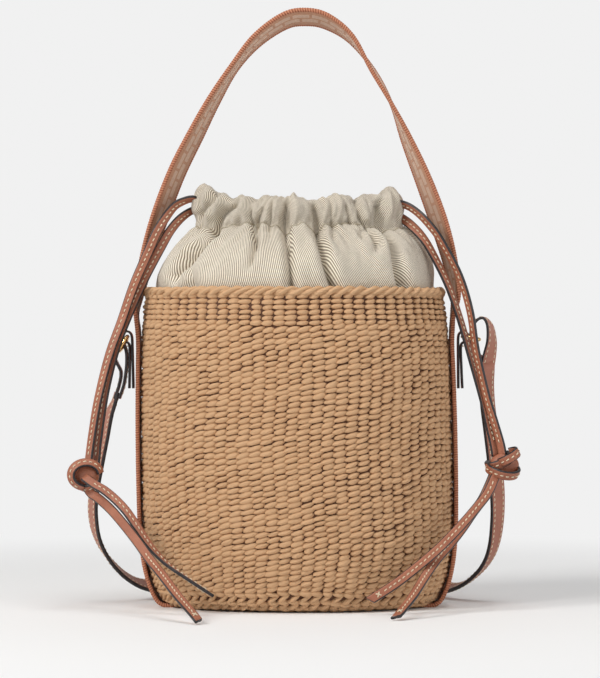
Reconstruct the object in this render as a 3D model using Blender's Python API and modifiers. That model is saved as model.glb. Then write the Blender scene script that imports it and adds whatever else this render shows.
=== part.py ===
"""A bucket bag: an oval basket of woven straw with a gathered linen pouch inside it.

Metres, +Z up, front of the bag towards -Y. The origin is on the floor under the middle of the basket.
Run with: blender --background --python part.py
"""

import math

import bmesh
import bpy
import numpy as np
from mathutils import Vector

# ---------------------------------------------------------------- driving dimensions
basket_height = 0.2005
basket_half_width = 0.098
basket_half_depth = 0.070
basket_wall_thickness = 0.0045
base_thickness = 0.0045
rim_radius = 0.0042
lean = -0.0147  # sideways shift for each metre of height: the soft basket stands a little skewed

webbing_width = 0.025
webbing_thickness = 0.0018
linen_thickness = 0.0012
lace_width = 0.006
lace_thickness = 0.002
strap_width = 0.012
strap_thickness = 0.0024
tie_width = 0.011
tie_thickness = 0.0012
ring_wire_radius = 0.0016
ring_bar_spacing = 0.0105
ring_half_opening = 0.0082
ring_bar_out = 0.1055  # ring bar's distance from the middle of the bag
ring_bar_height = 0.1695
ring_tilt_left = math.radians(60)
ring_tilt_right = math.radians(10)
handle_pivot_height = 0.170
tunnel_half_width = 0.0575  # middle of the hem tunnel
tunnel_half_depth = 0.0215
gap = 0.0003  # left between pieces that touch
oval_steps = 48

# ---------------------------------------------------------------- outlines
# (half width, height) down the outside of the woven wall
wall_profile = [
    (0.0945, 0.1920),
    (0.0962, 0.1750),
    (0.0974, 0.1500),
    (basket_half_width, 0.1100),
    (basket_half_width, 0.0750),
    (0.0974, 0.0480),
    (0.0957, 0.0300),
    (0.0925, 0.0165),
    (0.0880, 0.0068),
    (0.0845, 0.0018),
    (0.0820, 0.0004),
    (0.0790, 0.0004),
]
# (half width, half depth, height) down the outside of the linen pouch
pouch_profile = [
    (0.0645, 0.0285, 0.2362),
    (0.0690, 0.0345, 0.2335),
    (0.0760, 0.0430, 0.2275),
    (0.0825, 0.0515, 0.2190),
    (0.0862, 0.0570, 0.2100),
    (0.0870, 0.0590, 0.2010),
    (0.0874, 0.0594, 0.1850),
    (0.0905, 0.0625, 0.1500),
    (0.0918, 0.0638, 0.0900),
    (0.0914, 0.0634, 0.0480),
    (0.0895, 0.0615, 0.0300),
    (0.0862, 0.0582, 0.0180),
    (0.0820, 0.0540, 0.0100),
]
# (distance out from the middle of the hem tunnel, height), over the top from the inside
tunnel_profile = [
    (-0.0070, 0.2395),
    (-0.0070, 0.2560),
    (-0.0045, 0.2608),
    (0.0005, 0.2632),
    (0.0048, 0.2605),
    (0.0070, 0.2550),
    (0.0070, 0.2450),
    (0.0064, 0.2366),
]
# (distance out from the middle of the bag, height) of the webbing sewn down one side
band_route = [
    (0.0981, 0.1690),
    (0.0984, 0.1600),
    (0.0989, 0.1450),
    (0.0995, 0.1100),
    (0.0995, 0.0750),
    (0.0989, 0.0480),
    (0.0972, 0.0300),
    (0.0940, 0.0155),
    (0.0894, 0.0050),
    (0.0850, 0.0015),
    (0.0790, 0.0011),
    (0.0600, 0.0011),
    (0.0300, 0.0011),
    (0.0003, 0.0011),
]
# (x, height, roll in degrees) along the middle of the handle, left end to right end
handle_route = [
    (-0.1031, 0.1700, 0),
    (-0.1030, 0.1800, 2),
    (-0.1010, 0.1960, 8),
    (-0.0946, 0.2224, 16),
    (-0.0870, 0.2468, 20),
    (-0.0768, 0.2732, 20),
    (-0.0652, 0.2965, 18),
    (-0.0540, 0.3178, 13),
    (-0.0408, 0.3392, 7),
    (-0.0265, 0.3573, 7),
    (-0.0090, 0.3705, 7),
    (0.0044, 0.3738, 6),
    (0.0175, 0.3702, 3),
    (0.0328, 0.3583, -2),
    (0.0466, 0.3370, -7),
    (0.0580, 0.3165, -3),
    (0.0678, 0.2935, 10),
    (0.0786, 0.2675, 18),
    (0.0882, 0.2411, 20),
    (0.0950, 0.2170, 15),
    (0.0985, 0.1960, 8),
    (0.0982, 0.1800, 2),
    (0.0981, 0.1700, 0),
]
# (distance out, height) along a tie: outer end, up round the ring bar, inner end
tie_route = [
    (0.1048, 0.1370),
    (0.1044, 0.1500),
    (0.1042, 0.1625),
    (0.1052, 0.1655),
    (0.1075, 0.1668),
    (0.1090, 0.1695),
    (0.1080, 0.1719),
    (0.1056, 0.1729),
    (0.1035, 0.1716),
    (0.1027, 0.1690),
    (0.1025, 0.1625),
    (0.1024, 0.1500),
    (0.1023, 0.1370),
]

# Routes of the flat leather pieces: (x, y, z, turn, rise). Turn and rise, in degrees, point across the
# strip, towards its outer edge: turn is measured from +Y towards +X, and rise is upwards from level.
lace_routes = {
    "lace_left_front_strand": [
        (-0.0650, -0.0042, 0.2558, -90, 90),
        (-0.0680, -0.0050, 0.2560, -88, 82),
        (-0.0722, -0.0070, 0.2546, -85, 70),
        (-0.0777, -0.0120, 0.2513, -80, 55),
        (-0.0831, -0.0165, 0.2442, -76, 40),
        (-0.0886, -0.0195, 0.2348, -72, 30),
        (-0.0935, -0.0205, 0.2235, -70, 25),
        (-0.1028, -0.0225, 0.2017, -70, 18),
        (-0.1103, -0.0225, 0.1798, -68, 16),
        (-0.1183, -0.0235, 0.1574, -66, 16),
        (-0.1251, -0.0245, 0.1300, -66, 12),
        (-0.1286, -0.0255, 0.1090, -68, 8),
        (-0.1305, -0.0268, 0.0945, -70, 5),
    ],
    "lace_left_back_strand": [
        (-0.0650, 0.0030, 0.2500, -88, 80),
        (-0.0699, -0.0020, 0.2473, -84, 62),
        (-0.0753, -0.0085, 0.2426, -78, 46),
        (-0.0807, -0.0130, 0.2356, -72, 34),
        (-0.0856, -0.0158, 0.2268, -66, 28),
        (-0.0956, -0.0175, 0.2055, -62, 22),
        (-0.1043, -0.0180, 0.1842, -60, 18),
        (-0.1117, -0.0182, 0.1624, -60, 16),
        (-0.1192, -0.0195, 0.1349, -62, 12),
        (-0.1246, -0.0218, 0.1038, -66, 8),
        (-0.1259, -0.0232, 0.0945, -68, 5),
    ],
    "lace_left_upper_tail": [
        (-0.1262, -0.0390, 0.0780, -80, -40),
        (-0.1203, -0.0412, 0.0748, -85, -44),
        (-0.1134, -0.0440, 0.0694, -92, -46),
        (-0.1063, -0.0480, 0.0623, -102, -44),
        (-0.0993, -0.0525, 0.0528, -115, -38),
        (-0.0911, -0.0580, 0.0414, -135, -30),
        (-0.0812, -0.0630, 0.0313, -155, -18),
        (-0.0676, -0.0680, 0.0219, -170, -8),
        (-0.0529, -0.0710, 0.0123, -178, -2),
    ],
    "lace_left_lower_tail": [
        (-0.1290, -0.0300, 0.0722, -88, -40),
        (-0.1240, -0.0345, 0.0692, -88, -42),
        (-0.1160, -0.0440, 0.0630, -90, -44),
        (-0.1074, -0.0555, 0.0545, -92, -44),
        (-0.0988, -0.0670, 0.0450, -96, -40),
        (-0.0903, -0.0790, 0.0347, -102, -32),
        (-0.0817, -0.0930, 0.0256, -108, -22),
        (-0.0720, -0.1110, 0.0150, -114, -12),
        (-0.0625, -0.1270, 0.0058, -118, -4),
        (-0.0590, -0.1335, 0.0022, -118, 0),
    ],
    "lace_right_front_strand": [
        (0.0572, -0.0042, 0.2528, 90, 90),
        (0.0641, -0.0050, 0.2529, 90, 84),
        (0.0703, -0.0080, 0.2502, 92, 68),
        (0.0764, -0.0130, 0.2450, 96, 52),
        (0.0825, -0.0165, 0.2380, 100, 38),
        (0.0886, -0.0190, 0.2292, 104, 28),
        (0.0998, -0.0205, 0.2079, 108, 18),
        (0.1066, -0.0212, 0.1855, 110, 10),
        (0.1103, -0.0220, 0.1611, 110, 8),
        (0.1165, -0.0230, 0.1331, 108, 12),
        (0.1208, -0.0235, 0.1188, 106, 14),
        (0.1252, -0.0250, 0.1035, 104, 12),
    ],
    "lace_right_back_strand": [
        (0.0572, 0.0036, 0.2470, 90, 88),
        (0.0606, 0.0030, 0.2460, 88, 84),
        (0.0661, -0.0025, 0.2429, 84, 68),
        (0.0715, -0.0085, 0.2382, 76, 52),
        (0.0770, -0.0130, 0.2318, 66, 38),
        (0.0825, -0.0152, 0.2230, 58, 28),
        (0.0925, -0.0162, 0.2030, 52, 22),
        (0.1005, -0.0172, 0.1805, 48, 16),
        (0.1074, -0.0182, 0.1561, 48, 12),
        (0.1148, -0.0195, 0.1299, 56, 12),
        (0.1190, -0.0212, 0.1120, 66, 10),
        (0.1210, -0.0222, 0.1040, 70, 8),
    ],
    "lace_right_upper_tail": [
        (0.1196, -0.0380, 0.0790, 100, -34),
        (0.1161, -0.0405, 0.0723, 104, -36),
        (0.1096, -0.0450, 0.0645, 106, -38),
        (0.1026, -0.0500, 0.0568, 108, -40),
        (0.0944, -0.0550, 0.0485, 110, -42),
        (0.0850, -0.0595, 0.0396, 110, -44),
        (0.0733, -0.0640, 0.0300, 112, -46),
        (0.0591, -0.0680, 0.0193, 114, -46),
        (0.0432, -0.0710, 0.0092, 116, -44),
    ],
    "lace_right_lower_tail": [
        (0.1176, -0.0300, 0.0765, 94, -30),
        (0.1134, -0.0320, 0.0682, 96, -32),
        (0.1070, -0.0360, 0.0597, 98, -34),
        (0.1005, -0.0415, 0.0509, 100, -36),
        (0.0926, -0.0485, 0.0417, 104, -38),
        (0.0847, -0.0550, 0.0333, 108, -36),
        (0.0775, -0.0660, 0.0245, 114, -28),
        (0.0690, -0.0860, 0.0135, 122, -14),
        (0.0610, -0.1020, 0.0050, 127, -4),
        (0.0579, -0.1075, 0.0022, 128, 0),
    ],
}
strap_route = [
    (-0.1162, 0.000, 0.1285, -12, 0),
    (-0.1185, 0.001, 0.1235, -20, 0),
    (-0.1208, 0.003, 0.1163, -25, 0),
    (-0.1228, 0.005, 0.1067, -27, 0),
    (-0.1249, 0.007, 0.0966, -27, 0),
    (-0.1273, 0.010, 0.0851, -27, 0),
    (-0.1296, 0.012, 0.0729, -27, 0),
    (-0.1308, 0.014, 0.0621, -27, 0),
    (-0.1305, 0.016, 0.0531, -25, 0),
    (-0.1294, 0.019, 0.0453, -20, 0),
    (-0.1271, 0.022, 0.0381, -14, 0),
    (-0.1235, 0.026, 0.0308, -10, 4),
    (-0.1183, 0.030, 0.0235, -8, 10),
    (-0.1110, 0.036, 0.0160, -10, 16),
    (-0.1017, 0.044, 0.0102, -18, 26),
    (-0.0900, 0.055, 0.0078, -28, 45),
    (-0.0740, 0.069, 0.0068, -30, 72),
    (-0.0520, 0.080, 0.0064, -20, 90),
    (-0.0200, 0.085, 0.0064, 0, 90),
    (0.0150, 0.086, 0.0064, 0, 90),
    (0.0390, 0.093, 0.0064, 0, 90),
    (0.0500, 0.108, 0.0064, 0, 90),
    (0.0390, 0.123, 0.0064, 0, 90),
    (0.0130, 0.129, 0.0064, 0, 90),
    (-0.0300, 0.130, 0.0064, 0, 90),
    (-0.0600, 0.136, 0.0064, 0, 90),
    (-0.0730, 0.151, 0.0064, 0, 90),
    (-0.0610, 0.166, 0.0064, 0, 90),
    (-0.0300, 0.171, 0.0064, 0, 90),
    (0.0200, 0.171, 0.0064, 0, 90),
    (0.0550, 0.163, 0.0064, 0, 90),
    (0.0770, 0.144, 0.0064, 0, 90),
    (0.0860, 0.117, 0.0064, 60, 82),
    (0.0890, 0.090, 0.0064, 52, 62),
    (0.0925, 0.068, 0.0060, 40, 38),
    (0.0985, 0.052, 0.0070, 24, 16),
    (0.1060, 0.042, 0.0105, 14, 4),
    (0.1125, 0.035, 0.0160, 14, 0),
    (0.1182, 0.029, 0.0228, 20, 0),
    (0.1221, 0.024, 0.0305, 28, 0),
    (0.1244, 0.020, 0.0395, 36, 0),
    (0.1255, 0.017, 0.0492, 42, 0),
    (0.1260, 0.015, 0.0595, 46, 0),
    (0.1256, 0.013, 0.0723, 50, 0),
    (0.1242, 0.011, 0.0863, 50, 0),
    (0.1225, 0.009, 0.1009, 50, 0),
    (0.1208, 0.007, 0.1136, 50, 0),
    (0.1191, 0.005, 0.1263, 50, 0),
    (0.1183, 0.003, 0.1390, 50, 0),
    (0.1186, 0.002, 0.1478, 50, 0),
]
loop_routes = {
    "strap_loop_left": [
        (-0.1131, 0.0, 0.1305, 0, 0),
        (-0.1103, 0.0, 0.1390, 0, 0),
        (-0.1090, 0.0, 0.1470, 0, 0),
        (-0.1084, 0.0, 0.1540, 0, 0),
        (-0.1088, 0.0, 0.1605, 0, 0),
        (-0.1108, 0.0, 0.1650, 0, 0),
        (-0.1145, 0.0, 0.1662, 0, 0),
        (-0.1170, 0.0, 0.1630, 0, 0),
        (-0.1166, 0.0, 0.1575, 0, 0),
        (-0.1144, 0.0, 0.1525, 0, 0),
        (-0.1120, 0.0, 0.1470, 0, 0),
        (-0.1132, 0.0, 0.1390, 0, 0),
        (-0.1160, 0.0, 0.1305, 0, 0),
    ],
    "strap_loop_right": [
        (0.1186, 0.0020, 0.1500, 50, 0),
        (0.1200, 0.0010, 0.1580, 45, 0),
        (0.1212, 0.0000, 0.1670, 32, 0),
        (0.1200, 0.0000, 0.1765, 20, 0),
        (0.1160, 0.0000, 0.1812, 8, 0),
        (0.1115, 0.0000, 0.1795, 0, 0),
        (0.1088, 0.0000, 0.1745, 0, 0),
        (0.1082, 0.0000, 0.1686, 0, 0),
        (0.1092, 0.0000, 0.1625, 5, 0),
        (0.1118, 0.0010, 0.1570, 20, 0),
        (0.1148, 0.0030, 0.1530, 38, 0),
        (0.1166, 0.0043, 0.1495, 50, 0),
    ],
}
knots = {
    "lace_left_knot": ((-0.1325, -0.0300, 0.0835), (0.0105, 0.0085, 0.0085)),
    "lace_right_knot": ((0.1262, -0.0300, 0.0910), (0.0095, 0.0085, 0.0100)),
}

# ---------------------------------------------------------------- materials: colour, roughness, metallic
finishes = {
    "straw": ((0.56, 0.36, 0.17), 0.75, 0.0),
    "straw_rim": ((0.60, 0.39, 0.19), 0.75, 0.0),
    "webbing": ((0.42, 0.17, 0.09), 0.80, 0.0),
    "linen": ((0.62, 0.58, 0.48), 0.90, 0.0),
    "leather": ((0.45, 0.17, 0.08), 0.45, 0.0),
    "leather_strap": ((0.42, 0.18, 0.11), 0.45, 0.0),
    "dark_leather": ((0.05, 0.03, 0.03), 0.50, 0.0),
    "gold": ((0.75, 0.52, 0.22), 0.25, 1.0),
}


def clear_scene():
    for obj in list(bpy.data.objects):
        bpy.data.objects.remove(obj, do_unlink=True)


def new_collection(name):
    collection = bpy.data.collections.new(name)
    bpy.context.scene.collection.children.link(collection)
    return collection


def material_for(node, finish):
    colour, roughness, metallic = finishes[finish]
    material = bpy.data.materials.new(node + "_" + finish)
    material.use_nodes = True
    shader = material.node_tree.nodes["Principled BSDF"]
    shader.inputs["Base Color"].default_value = (*colour, 1)
    shader.inputs["Roughness"].default_value = roughness
    shader.inputs["Metallic"].default_value = metallic
    return material


def place(obj, finish, smooth=True):
    """Puts the piece in the bag's collection and gives it its own material."""
    bag.objects.link(obj)
    obj.data.materials.append(material_for(obj.name, finish))
    if obj.type == "MESH":
        for face in obj.data.polygons:
            face.use_smooth = smooth
        if smooth:
            obj.data.set_sharp_from_angle(angle=math.radians(40))
    return obj


def leaned(point):
    """The point after the basket's slight sideways lean."""
    return Vector((point[0] + lean * point[2], point[1], point[2]))


def shell(obj, thickness, offset):
    solid = obj.modifiers.new("wall", "SOLIDIFY")
    solid.thickness = thickness
    solid.offset = offset
    solid.use_even_offset = True
    return solid


def cut(obj, cutter):
    boolean = obj.modifiers.new("cut", "BOOLEAN")
    boolean.operation = "DIFFERENCE"
    boolean.object = cutter


def box_cutter(name, low, high):
    """A hidden box from one corner to the other."""
    mesh = bpy.data.meshes.new(name)
    shape = bmesh.new()
    bmesh.ops.create_cube(shape, size=1)
    middle = (Vector(low) + Vector(high)) / 2
    size = Vector(high) - Vector(low)
    for vertex in shape.verts:
        vertex.co = Vector(middle[i] + vertex.co[i] * size[i] for i in range(3))
    shape.to_mesh(mesh)
    shape.free()
    cutter = bpy.data.objects.new(name, mesh)
    cutter.hide_render = True
    cutter.display_type = "WIRE"
    cutters.objects.link(cutter)
    return cutter


def oval_loft(name, rings, thickness, finish):
    """A shell lofted through ovals (half width, half depth, height), thickened inwards."""
    mesh = bpy.data.meshes.new(name)
    shape = bmesh.new()
    rows = []
    for half_width, half_depth, height in rings:
        angles = [2 * math.pi * i / oval_steps for i in range(oval_steps)]
        points = [(half_width * math.cos(a), half_depth * math.sin(a), height) for a in angles]
        rows.append([shape.verts.new(leaned(point)) for point in points])
    for upper, lower in zip(rows, rows[1:]):
        for i in range(oval_steps):
            j = (i + 1) % oval_steps
            shape.faces.new((upper[i], lower[i], lower[j], upper[j]))
    shape.to_mesh(mesh)
    shape.free()
    obj = bpy.data.objects.new(name, mesh)
    shell(obj, thickness, -1)
    return place(obj, finish)


def oval_disc(name, half_width, half_depth, low, high, finish):
    mesh = bpy.data.meshes.new(name)
    shape = bmesh.new()
    bmesh.ops.create_cone(
        shape, cap_ends=True, segments=oval_steps, radius1=1, radius2=1, depth=high - low
    )
    for vertex in shape.verts:
        point = (vertex.co.x * half_width, vertex.co.y * half_depth, vertex.co.z + (low + high) / 2)
        vertex.co = leaned(point)
    shape.to_mesh(mesh)
    shape.free()
    return place(bpy.data.objects.new(name, mesh), finish)


def tube(name, points, radius, finish, closed):
    """A round cord or wire through the points."""
    curve = bpy.data.curves.new(name, "CURVE")
    curve.dimensions = "3D"
    curve.bevel_depth = radius
    curve.bevel_resolution = 2
    curve.use_fill_caps = not closed
    spline = curve.splines.new("POLY")
    spline.points.add(len(points) - 1)
    for control, point in zip(spline.points, points):
        control.co = (*point, 1)
    spline.use_cyclic_u = closed
    return place(bpy.data.objects.new(name, curve), finish)


def smooth_route(rows, spacing):
    """A smooth curve through the rows of numbers, read at even spacing along its first three."""
    rows = np.array(rows, float)
    padded = np.vstack([2 * rows[0] - rows[1], rows, 2 * rows[-1] - rows[-2]])
    fine = []
    for a, b, c, d in zip(padded, padded[1:], padded[2:], padded[3:]):
        for t in np.linspace(0, 1, 12, endpoint=False):
            fine.append(
                0.5
                * (2 * b + (c - a) * t + (2 * a - 5 * b + 4 * c - d) * t**2 + (3 * b - a - 3 * c + d) * t**3)
            )
    fine.append(rows[-1])
    fine = np.array(fine)
    steps = np.linalg.norm(np.diff(fine[:, :3], axis=0), axis=1)
    along = np.concatenate([[0], np.cumsum(steps)])
    count = max(3, round(along[-1] / spacing) + 1)
    wanted = np.linspace(0, along[-1], count)
    return np.column_stack([np.interp(wanted, along, column) for column in fine.T])


def strip(name, centres, across, width, thickness, finish):
    """A flat strap: a ribbon of faces along the centres, thickened both ways."""
    mesh = bpy.data.meshes.new(name)
    shape = bmesh.new()
    widths = np.broadcast_to(width, len(centres))
    edges = []
    for centre, direction, wide in zip(centres, across, widths):
        half = direction * wide / 2
        edges.append((shape.verts.new(centre - half), shape.verts.new(centre + half)))
    for (a, b), (c, d) in zip(edges, edges[1:]):
        shape.faces.new((a, b, d, c))
    shape.to_mesh(mesh)
    shape.free()
    obj = bpy.data.objects.new(name, mesh)
    shell(obj, thickness, 0)
    return place(obj, finish)


def turned_across(route):
    """Unit vectors across a strip from its turn and rise columns, square to its route."""
    centres = [Vector(row[:3]) for row in route]
    directions = []
    for i, row in enumerate(route):
        turn, rise = math.radians(row[3]), math.radians(row[4])
        across = Vector(
            (math.cos(rise) * math.sin(turn), math.cos(rise) * math.cos(turn), math.sin(rise))
        )
        along = centres[min(i + 1, len(centres) - 1)] - centres[max(i - 1, 0)]
        along.normalize()
        directions.append((across - along * across.dot(along)).normalized())
    return centres, directions


def leather_strip(name, route, width, thickness, finish, spacing):
    centres, across = turned_across(smooth_route(route, spacing))
    return strip(name, centres, across, width, thickness, finish)


def pivot(name, position, pieces):
    """An empty on a joint's axis, which carries the pieces that turn about it."""
    empty = bpy.data.objects.new(name, None)
    empty.location = position
    empty.empty_display_size = 0.01
    bag.objects.link(empty)
    for piece in pieces:
        piece.parent = empty
        piece.matrix_parent_inverse.translation = -Vector(position)
    return empty


def make_basket():
    rings = [
        (half, half - basket_half_width + basket_half_depth, height) for half, height in wall_profile
    ]
    wall = oval_loft("basket_wall", rings, basket_wall_thickness, "straw")
    foot = rings[-1]
    base = oval_disc("basket_base", foot[0] - 2 * gap, foot[1] - 2 * gap, 0, base_thickness, "straw")
    for piece, height in ((wall, 0.0042), (base, 0.0026)):
        low, high = (-0.12, -0.0130, -0.01), (0.12, 0.0130, height)
        cut(piece, box_cutter(piece.name + "_channel", low, high))
    top = rings[0]
    points = []
    for i in range(oval_steps):
        angle = 2 * math.pi * i / oval_steps
        out = (top[0] - basket_wall_thickness / 2, top[1] - basket_wall_thickness / 2)
        height = basket_height - rim_radius
        points.append(leaned((out[0] * math.cos(angle), out[1] * math.sin(angle), height)))
    tube("rim_braid", points, rim_radius, "straw_rim", closed=True)


def make_side_bands():
    for side, name in ((-1, "side_band_left"), (1, "side_band_right")):
        route = smooth_route([(side * out, 0, height) for out, height in band_route], 0.007)
        centres = [leaned(row) for row in route]
        across = [Vector((0, 1, 0))] * len(centres)
        strip(name, centres, across, webbing_width, webbing_thickness, "webbing")


def make_handle():
    """The webbing arch. Each end is rounded about the axis that it swings on, outside the side band."""
    half = webbing_width / 2
    middle = [(x, 0, z, roll) for x, z, roll in handle_route]
    route = smooth_route(middle, 0.011)
    centres = [Vector(row[:3]) for row in route]
    across = []
    for i, row in enumerate(route):
        along = (centres[min(i + 1, len(centres) - 1)] - centres[max(i - 1, 0)]).normalized()
        inwards = Vector((0, 1, 0)).cross(along)
        roll = math.radians(row[3])
        across.append(Vector((0, 1, 0)) * math.cos(roll) + inwards * math.sin(roll))
    widths = [webbing_width] * len(centres)
    for drop in (0.35, 0.65, 0.85, 0.97):
        reach = half * drop
        wide = 2 * math.sqrt(half**2 - reach**2)
        for end in (0, -1):
            tip = Vector((route[end][0], 0, handle_pivot_height - reach))
            at = 0 if end == 0 else len(centres)
            centres.insert(at, tip)
            across.insert(at, Vector((0, 1, 0)))
            widths.insert(at, wide)
    handle = strip("handle_webbing", centres, across, widths, webbing_thickness, "webbing")
    pivot("handle_pivot", (lean * handle_pivot_height, 0, handle_pivot_height), [handle])


def make_pouch():
    oval_loft("pouch_body", pouch_profile, linen_thickness, "linen")
    foot = pouch_profile[-1]
    low = base_thickness + 4 * gap
    oval_disc("pouch_base", foot[0] - 0.004, foot[1] - 0.004, low, low + linen_thickness, "linen")
    rings = [
        (tunnel_half_width + out, tunnel_half_depth + out, height) for out, height in tunnel_profile
    ]
    tunnel = oval_loft("drawstring_tunnel", rings, linen_thickness, "linen")
    for side, name in ((-1, "left_exit"), (1, "right_exit")):
        near = side * 0.0550
        far = side * 0.0800
        low = (min(near, far), -0.0085, 0.2405)
        high = (max(near, far), 0.0085, 0.2610)
        cut(tunnel, box_cutter(name, low, high))


def make_laces():
    """Each lace runs round the tunnel, and its two ends come out at one side and are knotted together."""
    for side, name, height in ((-1, "lace_left_inside", 0.2530), (1, "lace_right_inside", 0.2450)):
        start = math.radians(10)
        centres = []
        across = []
        for i in range(oval_steps + 1):
            angle = start + (2 * math.pi - 2 * start) * i / oval_steps
            x = side * tunnel_half_width * math.cos(angle)
            centres.append(leaned((x, tunnel_half_depth * math.sin(angle), height)))
            across.append(Vector((0, 0, 1)))
        strip(name, centres, across, lace_width, lace_thickness, "leather")
    for side in ("left", "right"):
        carried = []
        for name, route in lace_routes.items():
            if name.startswith("lace_" + side):
                carried.append(
                    leather_strip(name, route, lace_width, lace_thickness, "leather", 0.008)
                )
        carried.append(make_knot("lace_" + side + "_knot"))
        exit_x = -0.0675 if side == "left" else 0.0600
        pivot("lace_" + side + "_pivot", (exit_x, 0, 0.2520), carried)


def make_knot(name):
    middle, radii = knots[name]
    mesh = bpy.data.meshes.new(name)
    shape = bmesh.new()
    bmesh.ops.create_uvsphere(shape, u_segments=14, v_segments=9, radius=1)
    for vertex in shape.verts:
        vertex.co = Vector(middle[i] + vertex.co[i] * radii[i] for i in range(3))
    shape.to_mesh(mesh)
    shape.free()
    return place(bpy.data.objects.new(name, mesh), "leather")


def make_side_hardware():
    """On each side a folded tie holds a metal ring, which the shoulder strap's end loop goes through."""
    for side, word, tilt in ((-1, "left", ring_tilt_left), (1, "right", ring_tilt_right)):
        route = smooth_route([(side * out, 0, height) for out, height in tie_route], 0.0035)
        centres = [leaned(row) for row in route]
        across = [Vector((0, 1, 0))] * len(centres)
        strip("tie_" + word, centres, across, tie_width, tie_thickness, "dark_leather")
        bar = leaned((side * ring_bar_out, 0, ring_bar_height))
        outwards = Vector((side * math.cos(tilt), 0, -math.sin(tilt)))
        points = []
        for i in range(28):
            angle = 2 * math.pi * i / 28
            cosine, sine = math.cos(angle), math.sin(angle)
            long = math.copysign(abs(cosine) ** 0.6, cosine) * ring_bar_spacing / 2
            wide = math.copysign(abs(sine) ** 0.6, sine) * ring_half_opening
            points.append(bar + outwards * (ring_bar_spacing / 2 + long) + Vector((0, wide, 0)))
        ring = tube("ring_" + word, points, ring_wire_radius, "gold", closed=True)
        pivot("ring_" + word + "_pivot", bar, [ring])


def make_shoulder_strap():
    carried = [
        leather_strip(
            "shoulder_strap", strap_route, strap_width, strap_thickness, "leather_strap", 0.013
        )
    ]
    for name, route in loop_routes.items():
        carried.append(leather_strip(name, route, strap_width, 0.0020, "leather_strap", 0.004))
    pivot("strap_pivot", (0, 0, 0.1645), carried)


clear_scene()
bag = new_collection("bucket_bag")
cutters = new_collection("cutters")
make_basket()
make_side_bands()
make_handle()
make_pouch()
make_laces()
make_side_hardware()
make_shoulder_strap()
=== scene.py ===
import math

import bpy
import numpy as np
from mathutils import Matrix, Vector


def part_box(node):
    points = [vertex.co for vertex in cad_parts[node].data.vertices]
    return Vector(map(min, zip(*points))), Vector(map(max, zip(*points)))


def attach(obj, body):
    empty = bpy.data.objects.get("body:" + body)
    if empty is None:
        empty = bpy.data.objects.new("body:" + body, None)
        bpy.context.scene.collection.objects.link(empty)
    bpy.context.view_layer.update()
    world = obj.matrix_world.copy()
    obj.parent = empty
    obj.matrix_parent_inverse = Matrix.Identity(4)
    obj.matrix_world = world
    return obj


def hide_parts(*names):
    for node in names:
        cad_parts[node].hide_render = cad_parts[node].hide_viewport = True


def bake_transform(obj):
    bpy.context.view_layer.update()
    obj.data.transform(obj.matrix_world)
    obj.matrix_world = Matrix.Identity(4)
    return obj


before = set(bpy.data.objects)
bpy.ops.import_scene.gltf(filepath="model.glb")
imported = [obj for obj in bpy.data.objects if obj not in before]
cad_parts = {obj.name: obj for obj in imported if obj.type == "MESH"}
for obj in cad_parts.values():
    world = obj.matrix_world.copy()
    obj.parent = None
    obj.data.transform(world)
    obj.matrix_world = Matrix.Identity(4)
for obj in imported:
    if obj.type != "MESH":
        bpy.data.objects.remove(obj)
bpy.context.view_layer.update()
rng = np.random.default_rng(7)
print("frame loaded")

# Small tools


def addNode(tree, kind, values=None, **settings):
    node = tree.nodes.new(kind)
    for key, value in settings.items():
        setattr(node, key, value)
    for key, value in (values or {}).items():
        if isinstance(value, bpy.types.NodeSocket):
            tree.links.new(value, node.inputs[key])
        else:
            node.inputs[key].default_value = value
    return node


def newMaterial(name, roughness, **sockets):
    made = bpy.data.materials.new(name)
    made.use_nodes = True
    shader = made.node_tree.nodes["Principled BSDF"]
    shader.inputs["Roughness"].default_value = roughness
    for key, value in sockets.items():
        shader.inputs[key.replace("_", " ")].default_value = value
    return made, made.node_tree, shader


def rampNode(tree, factor, stops):
    ramp = addNode(tree, "ShaderNodeValToRGB", {"Fac": factor})
    elements = ramp.color_ramp.elements
    while len(elements) < len(stops):
        elements.new(0.5)
    for element, (place, colour) in zip(elements, stops):
        element.position = place
        element.color = (*colour, 1)
    return ramp.outputs["Color"]


def mixColours(tree, factor, first, second, blend="MIX"):
    mix = addNode(tree, "ShaderNodeMix", data_type="RGBA", blend_type=blend)
    for socket, value in ((mix.inputs[0], factor), (mix.inputs[6], first), (mix.inputs[7], second)):
        if isinstance(value, bpy.types.NodeSocket):
            tree.links.new(value, socket)
        else:
            socket.default_value = value if isinstance(value, float) else (*value, 1)
    return mix.outputs[2]


def mathNode(tree, operation, *values):
    return addNode(tree, "ShaderNodeMath", dict(enumerate(values)), operation=operation).outputs[0]


def weighted(tree, *pairs):  # the sum of each value times its weight
    total = None
    for value, weight in pairs:
        part = mathNode(tree, "MULTIPLY", value, weight)
        total = part if total is None else mathNode(tree, "ADD", total, part)
    return total


def attributeVector(tree, name):
    return addNode(tree, "ShaderNodeAttribute", attribute_name=name).outputs["Vector"]


def attributeParts(tree, name):
    return addNode(tree, "ShaderNodeSeparateXYZ", {0: attributeVector(tree, name)}).outputs


def stretched(tree, attribute, scale):
    values = {"Vector": attributeVector(tree, attribute), "Scale": scale}
    return addNode(tree, "ShaderNodeMapping", values).outputs["Vector"]


def objectCoords(tree):
    return addNode(tree, "ShaderNodeTexCoord").outputs["Object"]


def noiseNode(tree, vector, scale, detail=3.0, roughness=0.55):
    values = {"Vector": vector, "Scale": scale, "Detail": detail, "Roughness": roughness}
    return addNode(tree, "ShaderNodeTexNoise", values).outputs["Fac"]


def bumpInto(tree, shader, height, strength, distance, before=None):
    values = {"Height": height, "Strength": strength, "Distance": distance}
    if before is not None:
        values["Normal"] = before
    bump = addNode(tree, "ShaderNodeBump", values)
    tree.links.new(bump.outputs["Normal"], shader.inputs["Normal"])
    return bump.outputs["Normal"]


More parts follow.
